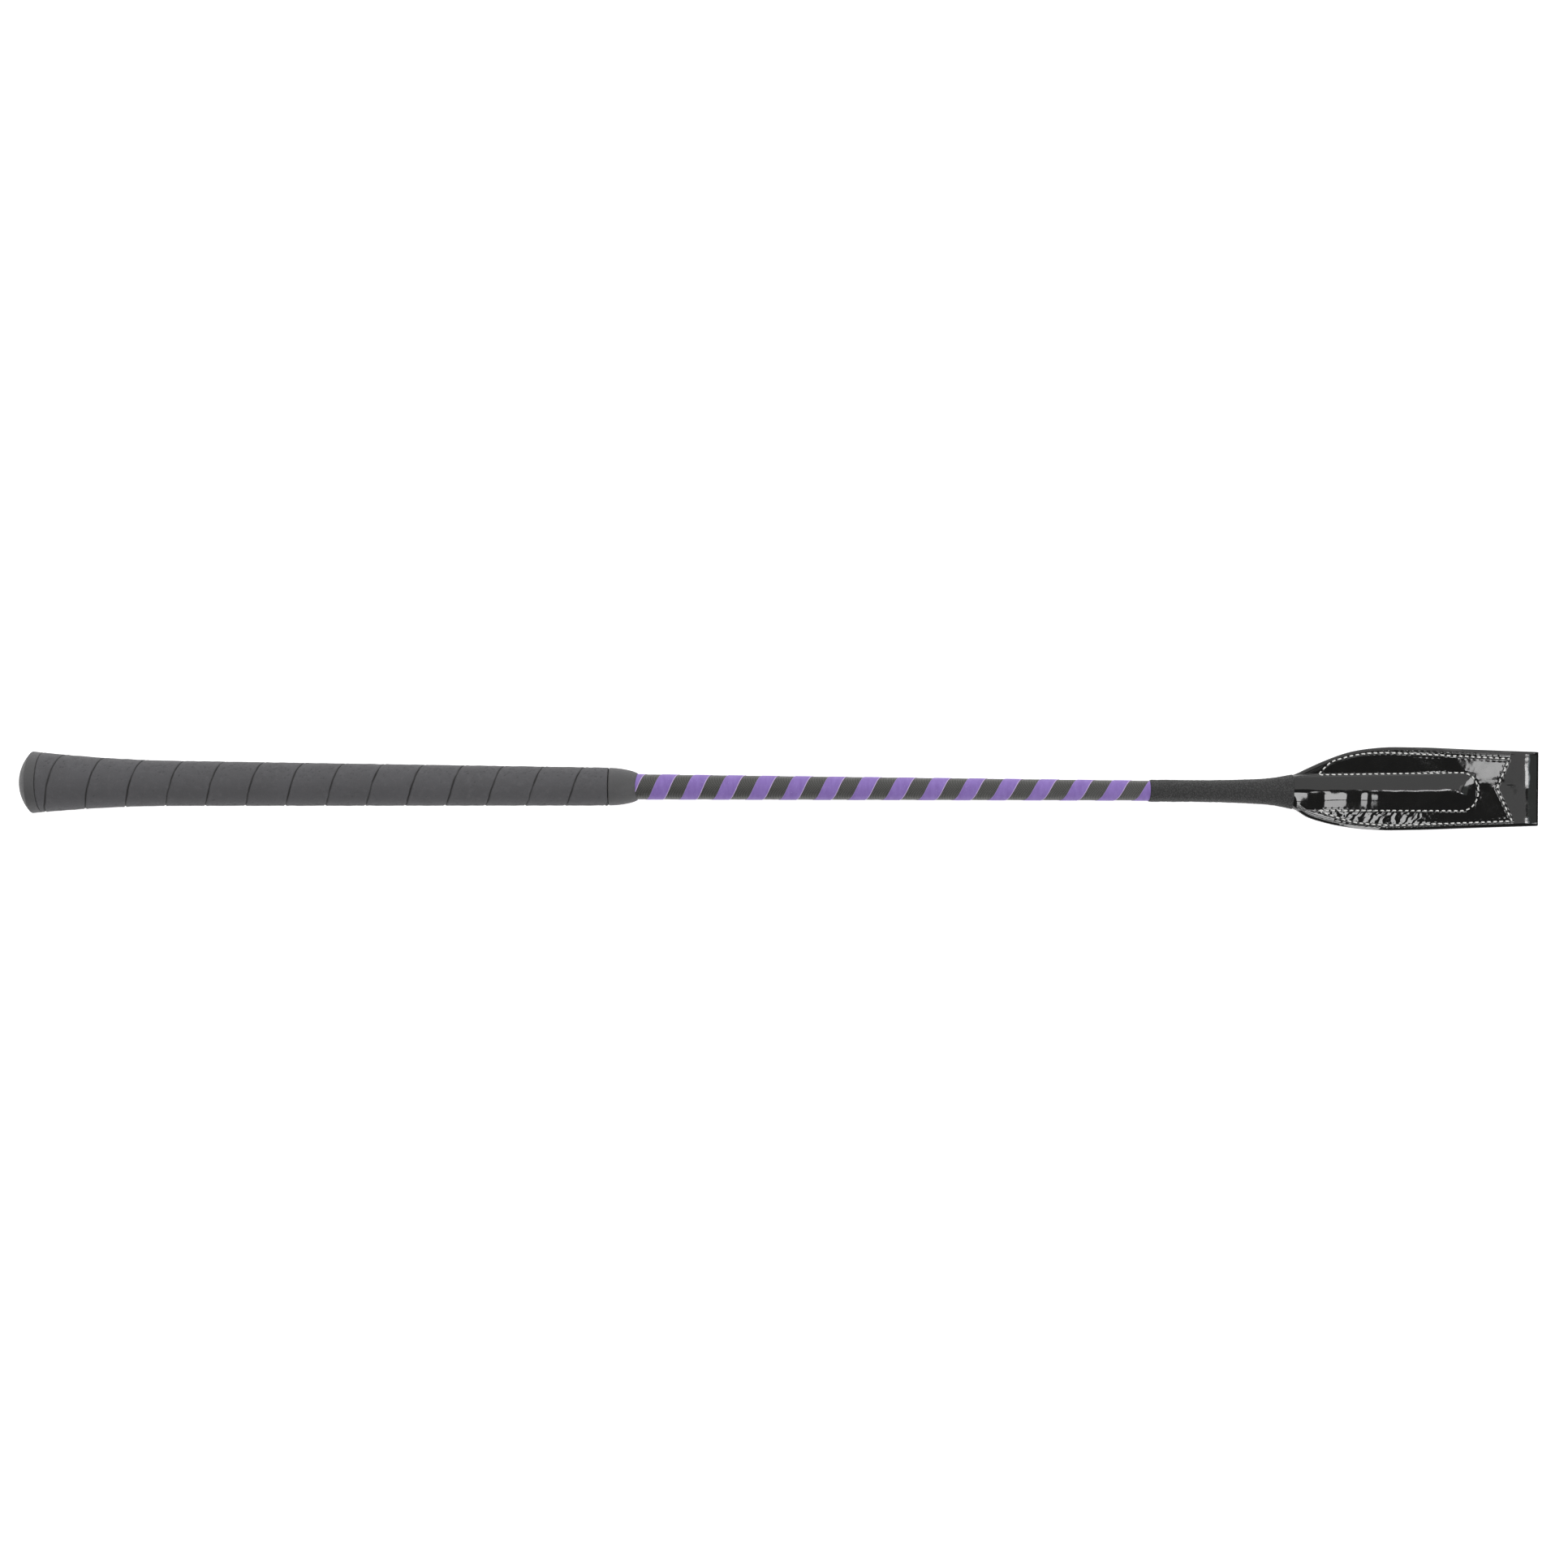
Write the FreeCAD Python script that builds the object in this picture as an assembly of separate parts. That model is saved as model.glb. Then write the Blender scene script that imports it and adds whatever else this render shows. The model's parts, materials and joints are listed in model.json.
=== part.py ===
import FreeCAD, Part
import math
import os

from FreeCAD import Vector

# Riding crop, dimensions in millimetres.
# Each piece is built along the rod's axis: x runs from the butt (0) to the end of
# the flap (660), y runs across the flap and z out of its front face. At the end
# everything is tilted as it lies on a table, on the rim of the butt and the flap.

OUT_DIR = "parts"
TOTAL_LENGTH = 660.0

FIT = 0.03                # glued or stretched layers stay this far apart
AXIS_START = Vector(0, 0, 0)
AXIS_DIR = Vector(1, 0, 0)

# rod
ROD_PROFILE = [(20.2, 5.30), (262.0, 4.75), (490.0, 3.62), (629.0, 2.45)]
TIP_CAP_LENGTH = 12.0
TIP_CAP_WALL = 0.55
TIP_CAP_BOTTOM = 1.6

# grip
CAP_DOME_HEIGHT = 5.4
CAP_RIM_ROUND = 0.45
GRIP_START = 9.6
GRIP_END = 255.6
FLARE_END = 69.0          # the butt flare runs out into the plain taper here
FLARE_RADIUS = 646.0
GRIP_RADIUS_AT_FLARE = 9.75
GRIP_TAPER = 0.0082       # radius lost per mm of length
WRAP_THICKNESS = 1.0
UNDERLISTING_THICKNESS = 0.85
TAPE_THICKNESS = 0.15
WRAP_PITCH = 17.37
WRAP_SEAM_START = 10.79   # x of the seam at the lower side of the grip
WRAP_SEAM_WIDTH = 0.6
CAP_SPIGOT_RADIUS = 5.0
CAP_SPIGOT_LENGTH = 10.0

# collar
COLLAR_GAP = 0.25
COLLAR_SHOULDER = (263.5, 7.45)
COLLAR_MOUTH = (268.2, 5.80)

# shaft
COVER_START = 257.0
COVER_END = 520.0
COVER_RADIUS = 5.55
COVER_TAPER = 0.0053
STRIPE_THICKNESS = 0.12
STRIPE_ORIGIN = 271.84    # x of the stripe's left edge at the lower side
STRIPE_PITCH = 14.21
STRIPE_PITCH_GROWTH = 0.064
STRIPE_WIDTH = 7.35
STRIPE_WIDTH_GROWTH = 0.025
STRIPE_TURNS = (-1.03, 14.70)

# neck
SLEEVE_START = 490.8
SLEEVE_END = 552.9
SLEEVE_STRAIGHT_END = 519.0
SLEEVE_RADIUS = 4.83
SLEEVE_WALL = 0.32
SLEEVE_FLARE = [           # x, half width, half height
    (519.0, 4.83, 4.83),
    (528.0, 5.05, 4.88),
    (537.0, 5.42, 4.92),
    (545.0, 6.10, 4.97),
    (552.9, 7.60, 5.00),
]
BINDING_START = 525.5
BINDING_TURNS = 22
BINDING_THREAD_RADIUS = 0.20
BINDING_RADIUS = 4.33      # to the middle of the thread

# flap
POCKET_RATIO = 1.65        # half width over half height
POCKET_START = (558.0, 4.60)     # x, half height
POCKET_TIP = (623.0, 4.00)
POCKET_END_LENGTH = 8.0
POCKET_NECK = [            # x, half width, half height
    (524.0, 4.00, 4.00),
    (532.5, 4.00, 4.00),
    (541.0, 4.75, 4.28),
    (549.5, 6.35, 4.52),
    (558.0, 4.60 * POCKET_RATIO, 4.60),
]
PADDING_RATIO = 1.8
PADDING_START = (556.0, 3.50)
PADDING_TIP = (622.0, 3.15)
PADDING_END_LENGTH = 7.0
LEATHER = 1.1
PLATE_HALF = 1.7           # half of the flap's thickness beside the pocket
PLATE_START = 553.2
EDGE_HALF = 1.15           # half of the thickness at the folded end
FOLD_SLOPE_START = 651.5
HINGE_X = 636.0
HINGE_GAP = 0.1
RIM = 2.2                  # the two leathers meet over this width at the edge
UPPER_EDGE = [(553.2, 7.3), (559.3, 10.8), (566.3, 13.9), (576.9, 17.5), (591.0, 19.8),
              (605.0, 20.0)]
LOWER_EDGE = [(553.2, -7.3), (559.3, -10.9), (566.3, -13.2), (576.9, -15.3),
              (591.0, -16.45), (605.0, -16.3)]
UPPER_CORNER = (660.0, 18.3)
LOWER_CORNER = (660.0, -14.1)

# stitching: one closed line round both wings of the flap
STITCH_PITCH = 2.65
STITCH_LENGTH = 1.85
THREAD_RADIUS = 0.33
STITCH_UPPER = [(563.8, 7.4), (568.4, 12.2), (575.1, 14.9), (583.6, 16.7), (593.0, 17.2),
                (608.7, 16.7)]
STITCH_LOWER = [(563.8, -8.0), (570.9, -10.6), (577.6, -12.6), (591.0, -14.1),
                (600.2, -14.2)]
STITCH_CORNER_UP = (646.7, 15.0)
STITCH_NOTCH = (641.3, 2.0)
STITCH_CORNER_LOW = (648.0, -12.0)
STITCH_U_UP = [(563.8, 7.4), (626.0, 8.8)]
STITCH_U_END = (633.3, 0.6)
STITCH_U_LOW = [(563.8, -8.0), (626.0, -7.7)]


# ---------------------------------------------------------------- shared shapes

def along(points):
    """Points in the plane of the axis: (x, radius) becomes (x, 0, radius)."""
    return [Vector(x, 0, r) for x, r in points]


def revolved(edges):
    """Solid of revolution about the axis from a closed loop of edges."""
    face = Part.Face(Part.Wire(Part.__sortEdges__(edges)))
    return face.revolve(AXIS_START, AXIS_DIR, 360)


def segments(points):
    """Straight edges joining the points in turn."""
    return [Part.LineSegment(a, b).toShape() for a, b in zip(points, points[1:])]


def revolved_polygon(points):
    corners = along(points)
    return revolved(segments(corners + corners[:1]))


def rod_radius(x):
    """Radius of the tapered rod at x."""
    for (x0, r0), (x1, r1) in zip(ROD_PROFILE, ROD_PROFILE[1:]):
        if x <= x1:
            return r0 + (r1 - r0) * (x - x0) / (x1 - x0)
    return ROD_PROFILE[-1][1]


def grip_radius(x):
    """Outer radius of the grip: a plain taper that flares towards the butt."""
    taper = GRIP_RADIUS_AT_FLARE - GRIP_TAPER * (x - FLARE_END)
    flare = max(0.0, FLARE_END - x)
    return taper + flare * flare / (2 * FLARE_RADIUS)


def cover_radius(x):
    """Outer radius of the black shaft cover."""
    return COVER_RADIUS - COVER_TAPER * (x - COVER_START)


def grip_line(start, end, inset):
    """Edges that follow the grip's outline, moved inwards by inset."""
    def at(x):
        return Vector(x, 0, grip_radius(x) - inset)

    flare = Part.Arc(at(start), at((start + FLARE_END) / 2), at(FLARE_END)).toShape()
    taper = Part.LineSegment(at(FLARE_END), at(end)).toShape()
    return [flare, taper], at(start), at(end)


def grip_layer(outer_inset, inner_inset, start, end):
    """A tube that follows the grip's outline between two depths."""
    outer, o_start, o_end = grip_line(start, end, outer_inset)
    inner, i_start, i_end = grip_line(start, end, inner_inset)
    caps = [Part.LineSegment(o_start, i_start).toShape(),
            Part.LineSegment(o_end, i_end).toShape()]
    return revolved(outer + inner + caps)


def rod_bore(gap):
    """The space the rod takes, grown by gap, for cutting out of other pieces."""
    points = [(x, r + gap) for x, r in ROD_PROFILE]
    return revolved_polygon([(ROD_PROFILE[0][0], 0)] + points + [(ROD_PROFILE[-1][0], 0)])


def helix_edge(turns, station, radius):
    """Curve round the axis from the lower side towards the front, then the top."""
    first, last = turns
    steps = int(math.ceil((last - first) * 12))
    params = [first + (last - first) * i / steps for i in range(steps + 1)]
    points = []
    for n in params:
        angle = 2 * math.pi * n
        x = station(n)
        r = radius(x)
        points.append(Vector(x, -r * math.cos(angle), r * math.sin(angle)))
    curve = Part.BSplineCurve()
    curve.interpolate(Points=points, Parameters=params)
    return curve.toShape()


def helical_strip(turns, left, right, inner, outer):
    """Solid strip wound round the axis between two stations and two radii."""
    corners = [helix_edge(turns, left, inner), helix_edge(turns, right, inner),
               helix_edge(turns, right, outer), helix_edge(turns, left, outer)]
    faces = []
    for one, other in zip(corners, corners[1:] + corners[:1]):
        faces.append(Part.makeRuledSurface(one, other, 1))
    for index in (0, -1):
        ends = [edge.Vertexes[index].Point for edge in corners]
        faces.append(Part.Face(Part.makePolygon(ends + ends[:1])))
    shell = Part.makeShell(faces)
    shell.sewShape()
    solid = Part.Solid(shell)
    if solid.Volume < 0:
        solid.reverse()
    return solid


def ellipse_wire(x, half_width, half_height):
    """Elliptical section across the axis, starting at the +y side."""
    big, small = max(half_width, half_height), min(half_width, half_height)
    if big - small < 1e-6:
        curve = Part.Circle(Vector(x, 0, 0), AXIS_DIR, big)
        curve.XAxis = Vector(0, 1, 0)
    else:
        curve = Part.Ellipse(Vector(x, big, 0), Vector(x, 0, small), Vector(x, 0, 0))
    return Part.Wire(curve.toShape())


def lofted(sections):
    """Smooth solid through elliptical sections."""
    return Part.makeLoft([ellipse_wire(*s) for s in sections], True, False)


def flattened_cone(start, tip, end_length, ratio):
    """Round cone with a domed end, widened across by ratio."""
    (x0, h0), (x1, h1) = start, tip
    end = Vector(x1 + end_length, 0, 0)
    ellipse = Part.Ellipse(end, Vector(x1, 0, h1), Vector(x1, 0, 0))
    dome = Part.ArcOfEllipse(ellipse, 0, math.pi / 2).toShape()
    rest = segments([end, Vector(x0, 0, 0), Vector(x0, 0, h0), Vector(x1, 0, h1)])
    widen = FreeCAD.Matrix()
    widen.scale(Vector(1, ratio, 1))
    return revolved([dome] + rest).transformGeometry(widen)


# ---------------------------------------------------------------- rod and grip

def core_rod():
    points = [(ROD_PROFILE[0][0], 0)] + ROD_PROFILE + [(ROD_PROFILE[-1][0], 0)]
    return revolved_polygon(points)


def rod_tip_cap():
    """Soft cap that keeps the rod's end from wearing through the flap."""
    end = ROD_PROFILE[-1][0]
    start = end - TIP_CAP_LENGTH
    wall = TIP_CAP_WALL + FIT
    face = end + TIP_CAP_BOTTOM
    body = revolved_polygon([
        (start, 0), (start, rod_radius(start) + wall), (end, rod_radius(end) + wall),
        (face, rod_radius(end) - 0.6), (face, 0)])
    bore = revolved_polygon([
        (start - 1, 0), (start - 1, rod_radius(start - 1) + FIT),
        (end + FIT, rod_radius(end) + FIT), (end + FIT, 0)])
    return body.cut(bore)


def tip_cap_space():
    """The space of the tip cap with its clearance."""
    end = ROD_PROFILE[-1][0]
    start = end - TIP_CAP_LENGTH - FIT
    wall = TIP_CAP_WALL + 2 * FIT
    face = end + TIP_CAP_BOTTOM + FIT
    return revolved_polygon([
        (start, 0), (start, rod_radius(start) + wall), (face, rod_radius(end) + wall),
        (face, 0)])


def butt_cap():
    """Domed end cap with a spigot in the handle former."""
    rim_x = CAP_DOME_HEIGHT
    rim_r = grip_radius(rim_x)
    dome_r = (rim_r ** 2 + rim_x ** 2) / (2 * rim_x)
    half = math.asin(rim_r / dome_r) / 2
    mid = Vector(dome_r * (1 - math.cos(half)), 0, dome_r * math.sin(half))
    dome = Part.Arc(Vector(0, 0, 0), mid, Vector(rim_x, 0, rim_r)).toShape()
    back = GRIP_START
    spigot_end = back + CAP_SPIGOT_LENGTH
    rest = segments(along([(rim_x, rim_r), (back, grip_radius(back)),
                           (back, CAP_SPIGOT_RADIUS), (spigot_end, CAP_SPIGOT_RADIUS),
                           (spigot_end, 0), (0, 0)]))
    cap = revolved([dome] + rest)
    rim = [e for e in cap.Edges
           if abs(e.BoundBox.XMin - rim_x) < 1e-3 and abs(e.BoundBox.XMax - rim_x) < 1e-3]
    return cap.makeFillet(CAP_RIM_ROUND, rim)


def handle_former():
    inset = WRAP_THICKNESS + UNDERLISTING_THICKNESS + TAPE_THICKNESS + 3 * FIT
    start = GRIP_START + FIT
    outer, o_start, o_end = grip_line(start, GRIP_END, inset)
    solid = revolved(outer + segments([o_start, Vector(start, 0, 0),
                                       Vector(GRIP_END, 0, 0), o_end]))
    spigot = Part.makeCylinder(CAP_SPIGOT_RADIUS + FIT, CAP_SPIGOT_LENGTH + 0.2,
                               Vector(GRIP_START, 0, 0), AXIS_DIR)
    return solid.cut(rod_bore(FIT)).cut(spigot)


def grip_tape():
    inset = WRAP_THICKNESS + UNDERLISTING_THICKNESS + 2 * FIT
    return grip_layer(inset, inset + TAPE_THICKNESS, GRIP_START + FIT, GRIP_END)


def grip_underlisting():
    inset = WRAP_THICKNESS + FIT
    return grip_layer(inset, inset + UNDERLISTING_THICKNESS, GRIP_START + FIT, GRIP_END)


def grip_wrap():
    """Strip wound round the grip, its turns parted by a narrow seam."""
    layer = grip_layer(0, WRAP_THICKNESS, GRIP_START + FIT, GRIP_END)

    def seam_left(n):
        return WRAP_SEAM_START + WRAP_PITCH * n - WRAP_SEAM_WIDTH / 2

    def seam_right(n):
        return seam_left(n) + WRAP_SEAM_WIDTH

    turns = (-0.35, (GRIP_END - WRAP_SEAM_START) / WRAP_PITCH + 0.3)
    seam = helical_strip(turns, seam_left, seam_right,
                         lambda x: GRIP_RADIUS_AT_FLARE - 4.0,
                         lambda x: grip_radius(GRIP_START) + 2.0)
    return largest(layer.cut(seam))


def nose_collar():
    """Smooth collar that closes the grip against the shaft."""
    start = GRIP_END + COLLAR_GAP
    arc = Part.Arc(Vector(start, 0, grip_radius(start)),
                   Vector(COLLAR_SHOULDER[0], 0, COLLAR_SHOULDER[1]),
                   Vector(COLLAR_MOUTH[0], 0, COLLAR_MOUTH[1])).toShape()
    bore = STRIPE_THICKNESS + 2 * FIT
    cover_bore = cover_radius(COVER_START) + bore
    rod_side = rod_radius(start) + FIT
    rest = segments(along([COLLAR_MOUTH, (COLLAR_MOUTH[0], cover_radius(COLLAR_MOUTH[0]) + bore),
                           (COVER_START - FIT, cover_bore), (COVER_START - FIT, rod_side),
                           (start, rod_side), (start, grip_radius(start))]))
    return revolved([arc] + rest)


# ---------------------------------------------------------------- shaft and neck

def shaft_cover():
    body = revolved_polygon([(COVER_START, 0), (COVER_START, cover_radius(COVER_START)),
                             (COVER_END, cover_radius(COVER_END)), (COVER_END, 0)])
    return body.cut(rod_bore(FIT))


def stripe_tape():
    """Purple band wound over the cover, a little steeper towards the flap."""
    def left(n):
        return STRIPE_ORIGIN + STRIPE_PITCH * n + STRIPE_PITCH_GROWTH * n * n

    def right(n):
        return left(n) + STRIPE_WIDTH + STRIPE_WIDTH_GROWTH * n

    return helical_strip(STRIPE_TURNS, left, right,
                         lambda x: cover_radius(x) + FIT,
                         lambda x: cover_radius(x) + FIT + STRIPE_THICKNESS)


def neck_sleeve():
    """Grained sleeve: a plain tube that flares and flattens into the flap."""
    tube = Part.makeCylinder(SLEEVE_RADIUS, SLEEVE_STRAIGHT_END - SLEEVE_START,
                             Vector(SLEEVE_START, 0, 0), AXIS_DIR)
    tube_bore = Part.makeCylinder(SLEEVE_RADIUS - SLEEVE_WALL,
                                  SLEEVE_STRAIGHT_END - SLEEVE_START,
                                  Vector(SLEEVE_START, 0, 0), AXIS_DIR)
    flare = lofted(SLEEVE_FLARE)
    flare_bore = lofted([(x, w - SLEEVE_WALL, h - SLEEVE_WALL) for x, w, h in SLEEVE_FLARE])
    return tube.cut(tube_bore).fuse(flare.cut(flare_bore))


def neck_binding():
    """Thread wound round the neck of the leather, hidden by the sleeve."""
    pitch = 2 * BINDING_THREAD_RADIUS + FIT
    spine = helix_edge((0, BINDING_TURNS), lambda n: BINDING_START + pitch * n,
                       lambda x: BINDING_RADIUS)
    start = spine.valueAt(spine.FirstParameter)
    tangent = spine.tangentAt(spine.FirstParameter)
    section = Part.Wire(Part.Circle(start, tangent, BINDING_THREAD_RADIUS).toShape())
    return Part.Wire(spine).makePipeShell([section], True, True)


# ---------------------------------------------------------------- flap

def upright(outline_edges, low, high):
    """Closed outline in plan, extruded in z."""
    face = Part.Face(Part.Wire(Part.__sortEdges__(outline_edges)))
    face.translate(Vector(0, 0, low))
    return face.extrude(Vector(0, 0, high - low))


def spline(points):
    curve = Part.BSplineCurve()
    curve.interpolate([Vector(x, y, 0) for x, y in points])
    return curve.toShape()


def flap_outline(inset):
    """Plan of the flap, moved inwards by inset."""
    upper = [(x, y - inset) for x, y in UPPER_EDGE]
    lower = [(x, y + inset) for x, y in LOWER_EDGE]
    up_end = (UPPER_CORNER[0] + 1, UPPER_CORNER[1] - inset)
    low_end = (LOWER_CORNER[0] + 1, LOWER_CORNER[1] + inset)
    rest = segments([Vector(x, y, 0) for x, y in (upper[-1], up_end, low_end, lower[-1])])
    start = segments([Vector(x, y, 0) for x, y in (upper[0], lower[0])])
    return [spline(upper), spline(lower)] + rest + start


def side_profile(half, end_half, slope_start, end):
    """Lengthwise section: parallel, then tapering to a round nose."""
    wide = UPPER_CORNER[1] + 5.0
    nose_x = end - end_half
    rise = math.sqrt(0.5) * end_half
    outline = segments([Vector(nose_x, -wide, -end_half), Vector(slope_start, -wide, -half),
                        Vector(PLATE_START, -wide, -half), Vector(PLATE_START, -wide, half),
                        Vector(slope_start, -wide, half), Vector(nose_x, -wide, end_half)])
    nose = Part.Arc(Vector(nose_x, -wide, end_half), Vector(end, -wide, 0),
                    Vector(nose_x, -wide, -end_half)).toShape()
    face = Part.Face(Part.Wire(Part.__sortEdges__(outline + [nose])))
    return face.extrude(Vector(0, 2 * wide, 0))


def flap_plate():
    """Both wings, as thick as two leathers and the padding."""
    return upright(flap_outline(0), -5, 5).common(
        side_profile(PLATE_HALF, EDGE_HALF, FOLD_SLOPE_START, TOTAL_LENGTH))


def padding_plate(gap):
    """Room between the leathers beside the pocket."""
    half = PLATE_HALF - LEATHER + gap
    return upright(flap_outline(RIM - gap), -5, 5).common(
        side_profile(half, 0.25 + gap, FOLD_SLOPE_START - 1.5, TOTAL_LENGTH - 3.0 + gap))


def pocket():
    """Outside of the raised pocket over the rod, with the neck inside the sleeve."""
    body = flattened_cone(POCKET_START, POCKET_TIP, POCKET_END_LENGTH, POCKET_RATIO)
    return body, lofted(POCKET_NECK)


def padding_space(gap):
    """Everything between the leathers, grown by gap."""
    start = (PADDING_START[0] - gap, PADDING_START[1] + gap)
    tip = (PADDING_TIP[0], PADDING_TIP[1] + gap)
    core = flattened_cone(start, tip, PADDING_END_LENGTH + gap, PADDING_RATIO)
    beyond = Part.makeBox(TOTAL_LENGTH, 100, 20, Vector(start[0], -50, -10))
    return padding_plate(gap).common(beyond).fuse(core)


def base_room():
    """Everything on the rod's side of the bend line."""
    end = HINGE_X - PLATE_HALF - HINGE_GAP
    return Part.makeBox(end - 500, 100, 40, Vector(500, -50, -20))


def tip_room():
    """Everything beyond the bend line, with a round back that turns about it."""
    box = Part.makeBox(50, 100, 40, Vector(HINGE_X, -50, -20))
    back = Part.makeCylinder(PLATE_HALF, 100, Vector(HINGE_X, -50, 0), Vector(0, 1, 0))
    return box.fuse(back)


def half_space(side):
    low = FIT / 2 if side > 0 else -20
    high = 20 if side > 0 else -FIT / 2
    return Part.makeBox(200, 100, high - low, Vector(500, -50, low))


def flap_half(side):
    """Front (+1) or back (-1) leather, from the neck to the bend line."""
    body, neck = pocket()
    skin = flap_plate().fuse(body).fuse(neck)
    skin = skin.common(base_room()).common(half_space(side))
    skin = skin.cut(padding_space(FIT)).cut(rod_bore(FIT)).cut(tip_cap_space())
    return largest(skin)


def flap_padding():
    core = padding_space(0).common(base_room())
    return largest(core.cut(rod_bore(FIT)).cut(tip_cap_space()))


def flap_fold():
    """End of the flap: one strip folded back on itself."""
    return largest(flap_plate().common(tip_room()).cut(padding_plate(FIT)))


def fold_padding():
    return largest(padding_plate(0).common(tip_room()))


# ---------------------------------------------------------------- stitching

def stitch_path():
    """The stitch line as separate stretches, each a smooth curve."""
    def line(a, b):
        return Part.LineSegment(Vector(a[0], a[1], 0), Vector(b[0], b[1], 0)).toShape()

    up_u, low_u, end_u = STITCH_U_UP, STITCH_U_LOW, STITCH_U_END
    round_end = Part.Arc(Vector(up_u[1][0], up_u[1][1], 0), Vector(end_u[0], end_u[1], 0),
                         Vector(low_u[1][0], low_u[1][1], 0)).toShape()
    return [
        Part.Wire([spline(STITCH_UPPER), line(STITCH_UPPER[-1], STITCH_CORNER_UP)]),
        Part.Wire([line(STITCH_CORNER_UP, STITCH_NOTCH)]),
        Part.Wire([line(STITCH_NOTCH, STITCH_CORNER_LOW)]),
        Part.Wire([spline(STITCH_LOWER), line(STITCH_LOWER[-1], STITCH_CORNER_LOW)]),
        Part.Wire([line(*up_u), round_end, line(low_u[1], low_u[0])]),
    ]


def stitch_spots():
    """Middle and direction of every stitch."""
    spots = []
    for wire in stitch_path():
        count = int(round(wire.Length / STITCH_PITCH))
        points = wire.discretize(Number=4 * count + 1)
        for i in range(count):
            before, middle, after = points[4 * i + 1], points[4 * i + 2], points[4 * i + 3]
            spots.append((middle, (after - before).normalize()))
    return spots


def stitch(middle, direction, side):
    """Half-round length of thread lying on one face of the flap."""
    half = STITCH_LENGTH / 2
    level = side * (PLATE_HALF + FIT)
    start = Vector(middle.x, middle.y, level) - direction * half
    thread = Part.makeCylinder(THREAD_RADIUS, STITCH_LENGTH, start, direction)
    low = level if side > 0 else level - 1
    slab = Part.makeBox(2 * STITCH_LENGTH, 2 * STITCH_LENGTH, 1,
                        Vector(middle.x - STITCH_LENGTH, middle.y - STITCH_LENGTH, low))
    return thread.common(slab)


def stitching(side, beyond_bend):
    """The stitches of one face, on one side of the bend line."""
    reach = STITCH_LENGTH / 2
    base_end = HINGE_X - PLATE_HALF - HINGE_GAP
    pieces = []
    for middle, direction in stitch_spots():
        if beyond_bend and middle.x - reach > HINGE_X:
            pieces.append(stitch(middle, direction, side))
        if not beyond_bend and middle.x + reach < base_end:
            pieces.append(stitch(middle, direction, side))
    return Part.makeCompound(pieces)


# ---------------------------------------------------------------- assembly

def largest(shape):
    """The biggest solid of a boolean result."""
    return max(shape.Solids, key=lambda solid: solid.Volume)


def build_all():
    return {
        "core_rod": core_rod(),
        "rod_tip_cap": rod_tip_cap(),
        "handle_former": handle_former(),
        "grip_tape": grip_tape(),
        "grip_underlisting": grip_underlisting(),
        "grip_wrap": grip_wrap(),
        "butt_cap": butt_cap(),
        "nose_collar": nose_collar(),
        "shaft_cover": shaft_cover(),
        "stripe_tape": stripe_tape(),
        "neck_binding": neck_binding(),
        "neck_sleeve": neck_sleeve(),
        "flap_front": flap_half(1),
        "flap_back": flap_half(-1),
        "flap_padding": flap_padding(),
        "stitching_front": stitching(1, False),
        "stitching_back": stitching(-1, False),
        "flap_fold": flap_fold(),
        "fold_padding": fold_padding(),
        "fold_stitching_front": stitching(1, True),
        "fold_stitching_back": stitching(-1, True),
    }


def lying_tilt():
    """Angle at which the butt's rim and the pocket's tip touch the same table."""
    drop = grip_radius(CAP_DOME_HEIGHT) - POCKET_TIP[1]
    return math.degrees(math.atan(drop / (POCKET_TIP[0] - CAP_DOME_HEIGHT)))


def laid_down(shapes):
    """Tilt everything on to the table and put the origin under its middle."""
    for shape in shapes.values():
        shape.rotate(AXIS_START, Vector(0, 1, 0), lying_tilt())
    boxes = [shape.optimalBoundingBox(False) for shape in shapes.values()]
    shift = Vector(-(min(b.XMin for b in boxes) + max(b.XMax for b in boxes)) / 2,
                   -(min(b.YMin for b in boxes) + max(b.YMax for b in boxes)) / 2,
                   -min(b.ZMin for b in boxes))
    for shape in shapes.values():
        shape.translate(shift)
    return shift


def main():
    os.makedirs(OUT_DIR, exist_ok=True)
    shapes = build_all()
    shift = laid_down(shapes)
    print("tilt", lying_tilt(), "moved by", shift)
    for name, shape in shapes.items():
        shape.exportStep(os.path.join(OUT_DIR, name + ".step"))


main()
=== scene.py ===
import json
import math

import bmesh
import bpy
import numpy as np
from mathutils import Matrix, Vector


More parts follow.
